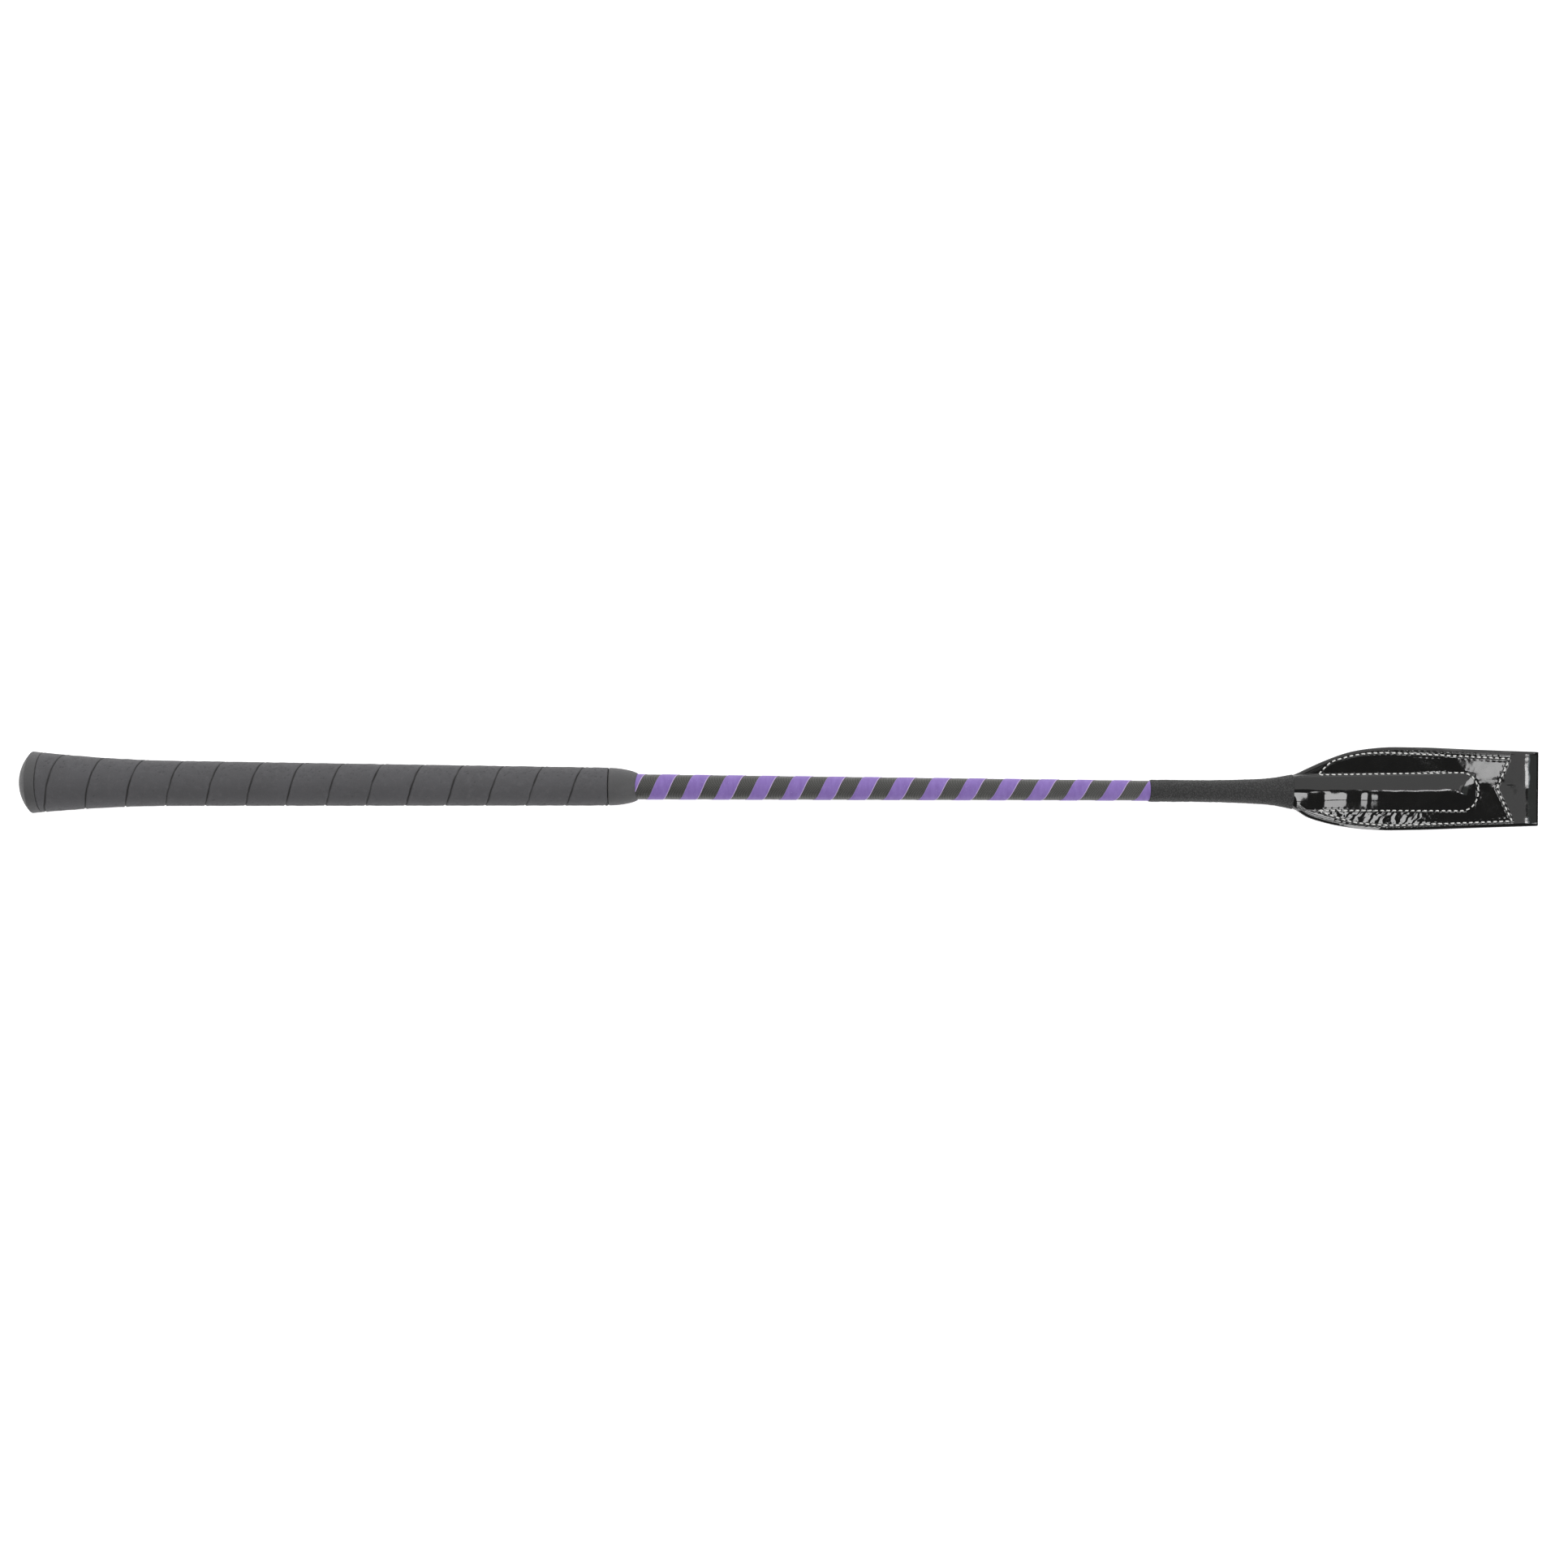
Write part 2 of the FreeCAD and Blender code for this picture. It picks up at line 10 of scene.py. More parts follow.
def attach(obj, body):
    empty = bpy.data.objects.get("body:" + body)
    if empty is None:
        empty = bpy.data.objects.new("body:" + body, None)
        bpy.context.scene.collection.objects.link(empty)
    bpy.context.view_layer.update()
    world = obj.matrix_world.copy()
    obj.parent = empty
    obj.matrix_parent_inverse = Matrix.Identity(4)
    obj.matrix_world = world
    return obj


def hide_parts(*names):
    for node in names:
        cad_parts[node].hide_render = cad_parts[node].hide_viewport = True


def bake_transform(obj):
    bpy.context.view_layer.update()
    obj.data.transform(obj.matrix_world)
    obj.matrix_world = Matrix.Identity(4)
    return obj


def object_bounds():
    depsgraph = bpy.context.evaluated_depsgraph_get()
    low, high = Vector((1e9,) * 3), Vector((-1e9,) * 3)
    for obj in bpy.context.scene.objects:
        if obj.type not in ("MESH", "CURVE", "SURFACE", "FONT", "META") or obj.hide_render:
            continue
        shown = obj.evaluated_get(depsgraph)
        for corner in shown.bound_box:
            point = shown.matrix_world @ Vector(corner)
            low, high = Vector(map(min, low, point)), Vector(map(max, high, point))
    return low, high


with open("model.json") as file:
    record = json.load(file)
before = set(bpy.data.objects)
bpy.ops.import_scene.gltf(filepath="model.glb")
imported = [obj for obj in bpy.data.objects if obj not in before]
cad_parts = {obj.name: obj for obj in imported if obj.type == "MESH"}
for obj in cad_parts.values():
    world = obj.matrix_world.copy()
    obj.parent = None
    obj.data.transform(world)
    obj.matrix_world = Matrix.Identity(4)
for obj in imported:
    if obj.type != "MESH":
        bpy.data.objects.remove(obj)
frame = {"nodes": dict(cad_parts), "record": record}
cad_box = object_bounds()

# Riding crop. Shapes are worked out in millimetres along the rod's axis: x from the
# butt (0) to the end of the flap (660), y across the flap, z out of its front face.
# The rack clip's place in the record says where that axis lies in the shared frame.

CLIP = next(m for m in frame["record"]["mounts"] if m["name"] == "rack_clip")
CLIP_X = 505.0
MM = 0.001
EX = -Vector(CLIP["axis"]).normalized()
EY = Vector((0, 1, 0))
EZ = EX.cross(EY)
AXES = np.array([EX, EY, EZ])
CLIP_SPOT = np.array(CLIP["pos_m"])

# butt cap, its rim and spigot as (x, radius)
CAP_STEPS = 144
CAP_DOME = 5.4
CAP_RIM_RADIUS = 13.4
CAP_RIM = [(5.2, 13.24), (5.36, 13.38), (5.52, 13.43), (5.75, 13.41), (6.2, 13.36)]
CAP_SPIGOT = [(9.5, 9.0), (9.5, 5.0), (19.4, 5.0), (19.6, 4.8), (19.6, 0.0)]

# grip: a flare of FLARE_RADIUS ends at the waist, and a plain taper follows; rows of
# pits as (part of a turn, width, share)
GRIP_STEPS = 128
GRIP_START = 9.6
GRIP_END = 255.6
WAIST = 69.0
WAIST_RADIUS = 9.75
GRIP_TAPER = 0.0082
FLARE_RADIUS = 646.0
WRAP_WALL = 0.97
WRAP_PITCH = 17.37
WRAP_SEAM_START = 10.79
WRAP_TURNS = (-2, 16)
SEAM_DEPTH = 0.40
PIT_DEPTH = 0.2
PIT_ROWS = [(0.37, 0.055, 1.0), (0.63, 0.05, 0.6), (0.045, 0.03, 1.0), (0.93, 0.03, 0.6)]

# collar, as (x, radius)
COLLAR_STEPS = 128
COLLAR_START = 255.85
COLLAR_CUT = 262.0
COLLAR_NOSE = [(256.6, 8.20), (257.6, 8.17), (259.0, 8.08), (260.5, 7.93), (262.0, 7.71),
               (263.5, 7.42), (264.8, 7.10), (266.0, 6.74), (267.0, 6.38), (267.6, 6.14),
               (267.95, 5.97), (268.15, 5.84), (268.2, 5.74), (268.1, 5.69)]

# shaft: its stripe's left edge runs along START + PITCH * turn + STRETCH * turn squared
COVER_STEPS = 72
COVER_START = 257.0
COVER_END = 520.0
COVER_RADIUS = 5.55
COVER_TAPER = 0.0053
STRIPE_TURNS = (-1.03, 14.70)
STRIPE_STEPS = 96
STRIPE_START = 271.84
STRIPE_PITCH = 14.21
STRIPE_STRETCH = 0.064
STRIPE_WIDTH = 7.35
STRIPE_WIDENING = 0.025
STRIPE_GIRTH = 33.0
STRIPE_SECTION = [(0.0, 0.02), (0.012, 0.09), (0.035, 0.13), (0.25, 0.135), (0.5, 0.14),
                  (0.75, 0.135), (0.93, 0.13), (0.965, 0.15), (0.988, 0.12), (1.0, 0.02),
                  (0.7, 0.02), (0.3, 0.02)]

# neck sleeve, as (x, half width, half height)
SLEEVE_STEPS = 112
SLEEVE_START = 490.8
SLEEVE_END = 552.9
SLEEVE_WALL = 0.32
SLEEVE_GIRTH_RADIUS = 5.2
SLEEVE_SHAPE = [(490.8, 4.83, 4.83), (519.0, 4.83, 4.83), (528.0, 5.05, 4.88),
                (537.0, 5.42, 4.92), (545.0, 6.10, 4.97), (552.9, 7.60, 5.00)]

# flap: its neck as (x, half width, half height), its outlines as (x, y), and the foot
# of the pocket as (x, distance from the middle)
NECK = [(524.0, 4.0, 4.0), (532.5, 4.0, 4.0), (541.0, 4.75, 4.28), (545.0, 5.4, 4.4),
        (549.5, 6.5, 4.55), (553.0, 7.1, 4.6), (558.0, 7.45, 4.60), (590.0, 7.2, 4.38),
        (623.0, 6.6, 4.0), (640.0, 6.3, 3.8)]
UPPER_EDGE = [(549.5, 6.5), (553.2, 7.3), (559.3, 10.1), (566.3, 13.3), (576.9, 17.2),
              (591.0, 19.5), (605.0, 19.75), (632.0, 18.95), (660.0, 18.1)]
LOWER_EDGE = [(549.5, -6.5), (553.2, -7.3), (559.3, -10.9), (566.3, -13.2), (576.9, -15.3),
              (591.0, -16.45), (605.0, -16.3), (632.0, -15.25), (660.0, -14.1)]
UPPER_FOOT = [(524.0, 4.0), (541.0, 4.75), (545.0, 5.4), (549.5, 6.5), (553.0, 7.1),
              (558.0, 7.5), (563.8, 7.7), (600.0, 8.2), (626.0, 8.7), (640.0, 8.97)]
LOWER_FOOT = [(524.0, 4.0), (541.0, 4.75), (545.0, 5.4), (549.5, 6.5), (552.6, 6.95),
              (553.6, 7.75), (554.2, 7.96), (555.0, 8.02), (558.0, 8.06), (563.8, 8.15),
              (600.0, 8.0), (626.0, 7.6), (640.0, 7.38)]
NECK_END = (549.5, 553.2)
POCKET_END = 632.0
POCKET_ROUND = 9.0
FLAP_START = 544.0
FLAP_END = 660.0
PLATE_START = 550.0
PLATE_GROWN = 554.5
PLATE_HALF = 1.7
EDGE_HALF = 1.15
RIM_WIDTH = 1.3
RIM_ROUND = 0.35
LEATHER_THICKNESS = 1.1
# the groove between the leathers' cut edges, as (share of its depth, share of EDGE_HALF)
EDGE_GROOVE = [(0.0, 0.58), (0.04, 0.16), (1.0, 0.0), (0.04, -0.16), (0.0, -0.58)]
GROOVE_DEPTH = 0.75
CUT_EDGE = 0.2  # lies in the third lay coordinate, which is 1 on the bright skin

# rises and slopes of the plate: over the patch, past the notch and past the fold;
# slopes along the pocket as (x, slope)
RISE_SPAN = (604.0, 627.0)
RISE_HEIGHT = 0.25
RISE_LEAD = 3.5
PATCH_START = 626.0
PATCH_HEIGHT = 0.30
PATCH_SLOPE = 0.022
NOTCH_LINE = [(-17.0, 650.2), (-12.0, 648.0), (2.0, 641.3), (15.0, 646.7), (20.0, 648.5)]
TIP_SLOPE = 0.05
FOLD_LINE = 654.4
FOLD_LENGTH = 4.0
FOLD_SLOPE = 0.09
FOLD_WAVE = 0.08
PANE_SLOPES = [(552.6, 0.0), (558.6, 0.0), (559.4, -0.035), (565.8, -0.035), (566.6, 0.026),
               (575.4, 0.026), (576.3, -0.022), (581.4, -0.022), (582.2, 0.035),
               (584.6, 0.035), (585.2, -0.03), (586.0, -0.03), (586.5, 0.035),
               (589.0, 0.035), (589.8, -0.004), (598.0, -0.004), (600.0, 0.0)]
PANE_STEP = 0.1
PLEAT_PITCH = 3.9
PLEAT_HEIGHT = 0.12
PLEAT_CREST = 0.74
PUCKER_DEPTH = 0.13

# stitching
STITCH_PITCH = 2.65
STITCH_LENGTH = 1.85
STITCH_RINGS = 9
STITCH_SIDES = 10
THREAD_RADIUS = 0.31
THREAD_FLATNESS = 0.85
STITCH_SINK = 0.06
STITCH_RISE = 0.22
STITCH_DIVE = 0.42
STITCH_UPPER = [(563.8, 7.4), (568.4, 12.2), (575.1, 14.9), (583.6, 16.7), (593.0, 17.2),
                (608.7, 16.7)]
STITCH_LOWER = [(563.8, -8.0), (570.9, -10.6), (577.6, -12.6), (591.0, -14.1),
                (600.2, -14.2)]
STITCH_NOTCH = [(646.7, 15.0), (641.3, 2.0), (648.0, -12.0)]
STITCH_U_UP = (626.0, 8.8)
STITCH_U_END = (633.3, 0.6)
STITCH_U_LOW = (626.0, -7.7)
CHUNK = 4000  # points compared with the stitching at a time

# camera
CAMERA_SPOT = (331.9, 1.7, 1042.0)
CAMERA_ROLL = math.radians(0.43)
CAMERA_LENS = 55.0
CAMERA_SENSOR = 36.0
CAMERA_REACH = 20.0  # metres

# studio: softboxes as name, spot, aim, size, brightness and, if not white, tint
ROD_MIDDLE = (330, 0, 0)
FLAP_BEND = (630, 0, 0)
FLAP_FOLD = (656, 0, 0)
SOFTBOXES = [
    ("far_softbox", (330, 700, 800), ROD_MIDDLE, (3200, 1400), 0.92),
    ("far_low_softbox", (330, 1500, 260), ROD_MIDDLE, (3200, 600), 0.85),
    ("left_softbox", (-900, 0, 1250), (250, 0, 0), (1300, 2400), 0.9),
    ("crest_strip", (953, 128, 1200), (612, 0, 0), (89, 50), 12.0),
    ("patch_light", (990, 46, 1000), (640, 0, 0), (66, 80), 7.3),
    ("end_softbox", (1110, 80, 1000), (650, 0, 0), (120, 260), 0.95),
    ("fold_strip", (1195, -16, 1000), FLAP_FOLD, (70, 56), 12.0),
    ("fold_strip_far", (1256, -16, 1000), FLAP_FOLD, (14, 60), 4.0, (0.75, 0.9, 1)),
    ("pocket_end_light", (1590, 248, 960), FLAP_BEND, (560, 290), 6.6),
    ("end_dim_softbox", (1320, 60, 950), FLAP_FOLD, (190, 300), 0.38, (0.9, 1, 0.95)),
]
# windows as name, tilt in degrees, height and brightness
WINDOWS = [("window_high", 14.0, 580, 8.0), ("window_mid", 42.0, 740, 7.0),
           ("window_low", 74.0, 820, 6.5)]
WINDOW_WIDTH = 185
WINDOW_AIM = Vector((572, 0, 3))
WINDOW_DISTANCE = 1500.0
WINDOW_LEAN = 0.16804
ROOM_LIGHT = 0.10
ROOM_SEEN = 0.92
FLOOR_HALF = 6.0  # metres, as is the gap
FLOOR_GAP = 0.0002
FLOOR_GLOW = 0.72


# ------------------------------------------------ mesh helpers

def placed(points):
    """Millimetres along the rod to metres in the shared frame."""
    flat = np.asarray(points, float).reshape(-1, 3) - (CLIP_X, 0.0, 0.0)
    return flat @ AXES * MM + CLIP_SPOT


def welded(points, faces):
    """Coinciding points joined and collapsed faces dropped: which points stay, new faces."""
    keys = np.round(points, 4)
    _, first, where = np.unique(keys, axis=0, return_index=True, return_inverse=True)
    where = where.reshape(-1)
    kept = []
    for face in faces:
        ring = [where[v] for v in face]
        ring = [v for i, v in enumerate(ring) if v != ring[i - 1]]
        if len(ring) > 2 and len(set(ring)) == len(ring):
            kept.append(ring)
    return first, kept


def piece(name, points, faces, finish, lay=None, relief=None):
    """A mesh object; lay holds each point's place in its material, in mm, and relief
    how far it stands above the plain surface."""
    points = np.asarray(points, float).reshape(-1, 3)
    lay = points if lay is None else np.asarray(lay, float).reshape(-1, 3)
    first, faces = welded(points, faces)
    mesh = bpy.data.meshes.new(name)
    mesh.from_pydata(placed(points[first]).tolist(), [], faces)
    spot = mesh.attributes.new("lay", "FLOAT_VECTOR", "POINT")
    spot.data.foreach_set("vector", lay[first].astype(np.float32).ravel())
    if relief is not None:
        proud = mesh.attributes.new("relief", "FLOAT", "POINT")
        proud.data.foreach_set("value", relief[first].astype(np.float32))
    outward = bmesh.new()
    outward.from_mesh(mesh)
    bmesh.ops.recalc_face_normals(outward, faces=outward.faces)
    outward.to_mesh(mesh)
    outward.free()
    mesh.polygons.foreach_set("use_smooth", [True] * len(mesh.polygons))
    mesh.materials.append(finish)
    obj = bpy.data.objects.new(name, mesh)
    bpy.context.scene.collection.objects.link(obj)
    return obj


def grid_faces(rows, count, loop_rows=False):
    """Quads of a grid of closed rows, each of count points."""
    i = np.arange(rows if loop_rows else rows - 1)[:, None]
    j = np.arange(count)[None, :]
    below = ((i + 1) % rows) * count
    right = (j + 1) % count
    quads = [i * count + j, i * count + right, below + right, below + j]
    return np.stack(quads, -1).reshape(-1, 4).tolist()


def row_face(row, count):
    """One face over a whole closed row of a grid."""
    return [row * count + j for j in range(count)]


def turned(profile, steps):
    """Grid of points made by turning a profile of (x, radius) round the axis."""
    profile = np.asarray(profile, float)
    angle = 2 * math.pi * np.arange(steps) / steps
    x = np.repeat(profile[:, :1], steps, 1)
    y = profile[:, 1:] * -np.cos(angle)
    z = profile[:, 1:] * np.sin(angle)
    return np.stack([x, y, z], -1)


def through(table, x, column=1):
    """Smooth curve through the table's points."""
    table = np.asarray(table, float)
    xs, ys = table[:, 0], table[:, column]
    slopes = np.gradient(ys, xs)
    i = np.clip(np.searchsorted(xs, x) - 1, 0, len(xs) - 2)
    h = xs[i + 1] - xs[i]
    t = np.clip((x - xs[i]) / h, 0.0, 1.0)
    start = (1 + 2 * t) * (1 - t) ** 2 * ys[i] + t * (1 - t) ** 2 * h * slopes[i]
    end = t * t * (3 - 2 * t) * ys[i + 1] + t * t * (t - 1) * h * slopes[i + 1]
    return start + end


def smooth_step(x, low, high):
    """0 below low, 1 above high, smooth between."""
    t = np.clip((x - low) / (high - low), 0.0, 1.0)
    return t * t * (3 - 2 * t)


def hump(x, middle, width):
    """Bell of height 1."""
    return np.exp(-((x - middle) / width) ** 2)


def waves(x, y, length, seed, count=9):
    """Uneven surface of about unit height made of crossing waves."""
    draw = np.random.default_rng(seed)
    total = 0.0
    for _ in range(count):
        way = draw.uniform(0, 2 * math.pi)
        number = 2 * math.pi / (length * draw.uniform(0.6, 1.7))
        phase = draw.uniform(0, 2 * math.pi)
        total = total + np.sin(number * (x * math.cos(way) + y * math.sin(way)) + phase)
    return total / math.sqrt(count)


def round_waves(x, angle, radius, length, seed, count=9):
    """Waves over a round piece that meet themselves all the way round."""
    y, z = -radius * np.cos(angle), radius * np.sin(angle)
    return waves(x + 0.9 * z, y - 0.7 * z, length, seed, count=count)


# ------------------------------------------------ materials

EVEN = (1, 1, 1)
BAND_SCALE = 0.314  # a wave texture's scale that gives one band in a unit


def grey(level):
    """A neutral colour."""
    return (level, level, level)


class Finish:
    """A node material built up step by step."""

    def __init__(self, name, lay=True):
        self.material = bpy.data.materials.new(name)
        self.material.use_nodes = True
        self.nodes = self.material.node_tree.nodes
        self.links = self.material.node_tree.links
        self.shader = self.nodes["Principled BSDF"]
        if lay:
            source = self.nodes.new("ShaderNodeAttribute")
            source.attribute_name = "lay"
            self.place = source.outputs["Vector"]
        else:
            source = self.nodes.new("ShaderNodeTexCoord")
            self.place = self.stretched(source.outputs["Object"], (1000, 1000, 1000))

    def stretched(self, vector, scale):
        """The vector with each axis scaled."""
        node = self.nodes.new("ShaderNodeMapping")
        node.inputs["Scale"].default_value = scale
        self.links.new(vector, node.inputs["Vector"])
        return node.outputs["Vector"]

    def noise(self, size, detail=4.0, scale=EVEN, rough=0.55, warp=0.0):
        """Noise with features of about size millimetres, 0 to 1 round 0.5."""
        node = self.nodes.new("ShaderNodeTexNoise")
        node.inputs["Scale"].default_value = 1.0 / size
        node.inputs["Detail"].default_value = detail
        node.inputs["Roughness"].default_value = rough
        node.inputs["Distortion"].default_value = warp
        self.links.new(self.stretched(self.place, scale), node.inputs["Vector"])
        return node.outputs["Fac"]

    def cells(self, size):
        """Distance from the middle of cells of about size millimetres."""
        node = self.nodes.new("ShaderNodeTexVoronoi")
        node.inputs["Scale"].default_value = 1.0 / size
        self.links.new(self.place, node.inputs["Vector"])
        return node.outputs["Distance"]

    def wave(self, size, direction, bend=0.0, scale=EVEN):
        """Bands of size millimetres."""
        node = self.nodes.new("ShaderNodeTexWave")
        node.bands_direction = direction
        node.inputs["Scale"].default_value = BAND_SCALE / size
        node.inputs["Distortion"].default_value = bend
        node.inputs["Detail"].default_value = 2.0
        self.links.new(self.stretched(self.place, scale), node.inputs["Vector"])
        return node.outputs["Fac"]

    def relief(self):
        """How far the surface stands proud, in millimetres."""
        node = self.nodes.new("ShaderNodeAttribute")
        node.attribute_name = "relief"
        return node.outputs["Fac"]

    def axis(self, index):
        """One coordinate of the material's place."""
        node = self.nodes.new("ShaderNodeSeparateXYZ")
        self.links.new(self.place, node.inputs["Vector"])
        return node.outputs[index]

    def ranged(self, value, low, high, to_low=0.0, to_high=1.0):
        """A value from low to high spread over to_low to to_high, and held beyond them."""
        node = self.nodes.new("ShaderNodeMapRange")
        for key, number in zip(("From Min", "From Max", "To Min", "To Max"),
                               (low, high, to_low, to_high)):
            node.inputs[key].default_value = number
        self.links.new(value, node.inputs["Value"])
        return node.outputs["Result"]

    def worked(self, operation, one, other):
        """Result of a maths operation on two values."""
        node = self.nodes.new("ShaderNodeMath")
        node.operation = operation
        for socket, value in zip(node.inputs, (one, other)):
            if isinstance(value, (int, float)):
                socket.default_value = value
            else:
                self.links.new(value, socket)
        return node.outputs["Value"]

    def mixed(self, amount, one, other):
        """Colour one where amount is 0 and other where it is 1."""
        node = self.nodes.new("ShaderNodeMix")
        node.data_type = "RGBA"
        self.links.new(amount, node.inputs["Factor"])
        for socket, value in ((node.inputs[6], one), (node.inputs[7], other)):
            if isinstance(value, tuple):
                socket.default_value = (*value, 1.0)
            else:
                self.links.new(value, socket)
        return node.outputs[2]

    def colour(self, value):
        self.links.new(value, self.shader.inputs["Base Color"])
        return self

    def rough(self, value):
        self.links.new(value, self.shader.inputs["Roughness"])
        return self

    def bumps(self, *steps):
        """Bump layers as (height, millimetres)."""
        normal = None
        for height, depth in steps:
            node = self.nodes.new("ShaderNodeBump")
            node.inputs["Distance"].default_value = depth * MM
            node.inputs["Strength"].default_value = 1.0
            self.links.new(height, node.inputs["Height"])
            if normal is not None:
                self.links.new(normal, node.inputs["Normal"])
            normal = node.outputs["Normal"]
        self.links.new(normal, self.shader.inputs["Normal"])
        return self

    def patterned(self, pattern, one, other, span, roughness, depth):
        """Colour, roughness and bump that all follow one pattern."""
        self.colour(self.mixed(pattern, one, other))
        self.rough(self.ranged(pattern, *span, *roughness))
        return self.bumps((pattern, depth)).material

    def set(self, **values):
        """Fixed shader inputs, with underscores for spaces."""
        for key, value in values.items():
            self.shader.inputs[key.replace("_", " ")].default_value = value


def grip_rubber():
    """Matt polyurethane: fine skin, cloudy wear, and painted shade in the seams and pinholes,
    darkest where they sit deepest.
    """
    f = Finish("grip_rubber_finish")
    cloud = f.ranged(f.noise(14.0, 5.0), 0.3, 0.7)
    skin = f.noise(0.5, 3.0)
    worn = f.ranged(f.noise(3.0, 6.0, rough=0.7), 0.52, 0.72)
    tone = f.mixed(cloud, (0.071, 0.070, 0.074), (0.080, 0.079, 0.085))
    tone = f.mixed(worn, tone, (0.091, 0.090, 0.096))
    # painted shade: the seams and pinholes are darkened by how deep they sit below the wrap
    depth = f.ranged(f.relief(), -0.30, -0.02)
    tone = f.mixed(depth, grey(0.022), tone)
    f.colour(tone).rough(f.ranged(skin, 0.3, 0.7, 0.62, 0.8))
    pores = f.ranged(f.cells(0.9), 0.0, 0.45)
    return f.bumps((skin, 0.07), (pores, 0.05)).material


def moulded_rubber():
    """Soft rubber of the butt cap and the collar."""
    f = Finish("moulded_rubber_finish")
    cloud = f.ranged(f.noise(9.0, 5.0), 0.3, 0.7)
    tone = f.mixed(cloud, (0.068, 0.068, 0.069), (0.078, 0.077, 0.080))
    scuff = f.ranged(f.noise(1.6, 6.0, scale=(1, 0.3, 1), rough=0.75), 0.6, 0.75)
    tone = f.mixed(scuff, tone, (0.100, 0.100, 0.103))
    f.colour(tone).rough(f.ranged(f.noise(0.7), 0.3, 0.7, 0.5, 0.7))
    return f.bumps((f.noise(0.6, 3.0), 0.06), (f.noise(5.0, 2.0), 0.15)).material


def cover_black():
    """Lacquered black covering over a fine weave."""
    f = Finish("cover_black_finish")
    warp_way = f.wave(0.55, "DIAGONAL", bend=0.6)
    weft_way = f.wave(0.55, "DIAGONAL", bend=0.6, scale=(1, -1, 1))
    weave = f.worked("MULTIPLY", warp_way, weft_way)
    crinkle = f.noise(1.2, 4.0, scale=(0.6, 1, 1))
    tone = f.mixed(weave, (0.030, 0.030, 0.027), (0.086, 0.086, 0.080))
    dust = f.ranged(f.noise(0.8, 5.0, rough=0.8), 0.6, 0.75)
    tone = f.mixed(dust, tone, (0.12, 0.118, 0.105))
    f.colour(tone).rough(f.ranged(crinkle, 0.3, 0.7, 0.3, 0.5))
    return f.bumps((weave, 0.05), (crinkle, 0.10)).material


def stripe_purple():
    """Lacquered purple tape with a painted highlight along its edges, bright on the edge towards
    the flap and faint on the edge towards the grip.
    """
    f = Finish("stripe_purple_finish")
    streak = f.noise(2.2, 5.0, scale=(1, 0.35, 1))
    tone = f.mixed(f.ranged(streak, 0.3, 0.7), (0.208, 0.128, 0.398), (0.254, 0.166, 0.478))
    speck = f.ranged(f.noise(0.5, 3.0), 0.62, 0.72)
    tone = f.mixed(speck, tone, (0.31, 0.235, 0.52))
    across = f.axis(2)
    # painted highlight along the tape's edges: bright on the edge towards the flap, faint on the
    # edge towards the grip
    tone = f.mixed(f.ranged(across, 0.94, 0.965), tone, (0.52, 0.40, 0.66))
    tone = f.mixed(f.ranged(across, 0.04, 0.02), tone, (0.32, 0.23, 0.50))
    f.colour(tone).rough(f.ranged(f.noise(1.0), 0.3, 0.7, 0.42, 0.58))
    f.set(Specular_IOR_Level=0.25)
    return f.bumps((f.noise(0.7, 3.0), 0.05), (f.noise(3.0, 2.0), 0.10)).material


def sleeve_grain():
    """Matt leathercloth with a fine pressed grain."""
    f = Finish("sleeve_grain_finish")
    pebble = f.ranged(f.cells(0.62), 0.1, 0.6)
    fine = f.noise(0.35, 4.0)
    tone = f.mixed(pebble, grey(0.048), grey(0.010))
    rub = f.ranged(f.noise(0.6, 6.0, rough=0.8), 0.55, 0.75)
    tone = f.mixed(rub, tone, grey(0.078))
    f.colour(tone).rough(f.ranged(fine, 0.3, 0.7, 0.5, 0.72))
    return f.bumps((pebble, -0.16), (fine, 0.06)).material


def patent_leather():
    """Black patent leather: a hard bright skin, and dull leather at its cut edge."""
    f = Finish("patent_leather_finish")
    flow = f.noise(6.0, 3.0)
    fine = f.noise(0.9, 3.0)
    smudge = f.ranged(f.noise(11.0, 6.0, rough=0.65), 0.45, 0.75)
    tone = f.mixed(f.noise(3.0, 4.0), grey(0.004), (0.008, 0.008, 0.0075))
    inside = f.ranged(f.axis(2), 0.95, 0.55)
    tone = f.mixed(inside, tone, (0.035, 0.031, 0.028))
    skin_rough = f.ranged(smudge, 0.0, 1.0, 0.05, 0.10)
    inside_rough = f.worked("MULTIPLY", inside, 0.5)
    f.colour(tone).rough(f.worked("ADD", skin_rough, inside_rough))
    f.set(Coat_Weight=0.25, Coat_Roughness=0.03, IOR=1.5)
    return f.bumps((flow, 0.012), (fine, 0.004)).material


def thread(name, dark, light):
    """Twisted waxed thread: x runs along each stitch."""
    f = Finish(name)
    ply = f.wave(0.42, "DIAGONAL")
    fuzz = f.noise(0.18, 3.0)
    tone = f.mixed(ply, dark, light)
    f.colour(tone).rough(f.ranged(fuzz, 0.3, 0.7, 0.45, 0.7))
    return f.bumps((ply, 0.09), (fuzz, 0.03)).material


def felt():
    """Pressed grey felt."""
    f = Finish("felt_finish")
    fibre = f.noise(0.5, 8.0, rough=0.75, warp=1.5)
    return f.patterned(fibre, grey(0.20), (0.42, 0.41, 0.40), (0.2, 0.8), (0.8, 1.0), 0.2)


def fibreglass():
    """Pultruded rod: long glass strands under resin."""
    f = Finish("fibreglass_finish", lay=False)
    strand = f.noise(0.6, 5.0, scale=(0.02, 1, 1))
    shade, shine = (0.62, 0.58, 0.44), (0.86, 0.82, 0.68)
    return f.patterned(strand, shade, shine, (0.2, 0.8), (0.25, 0.5), 0.05)


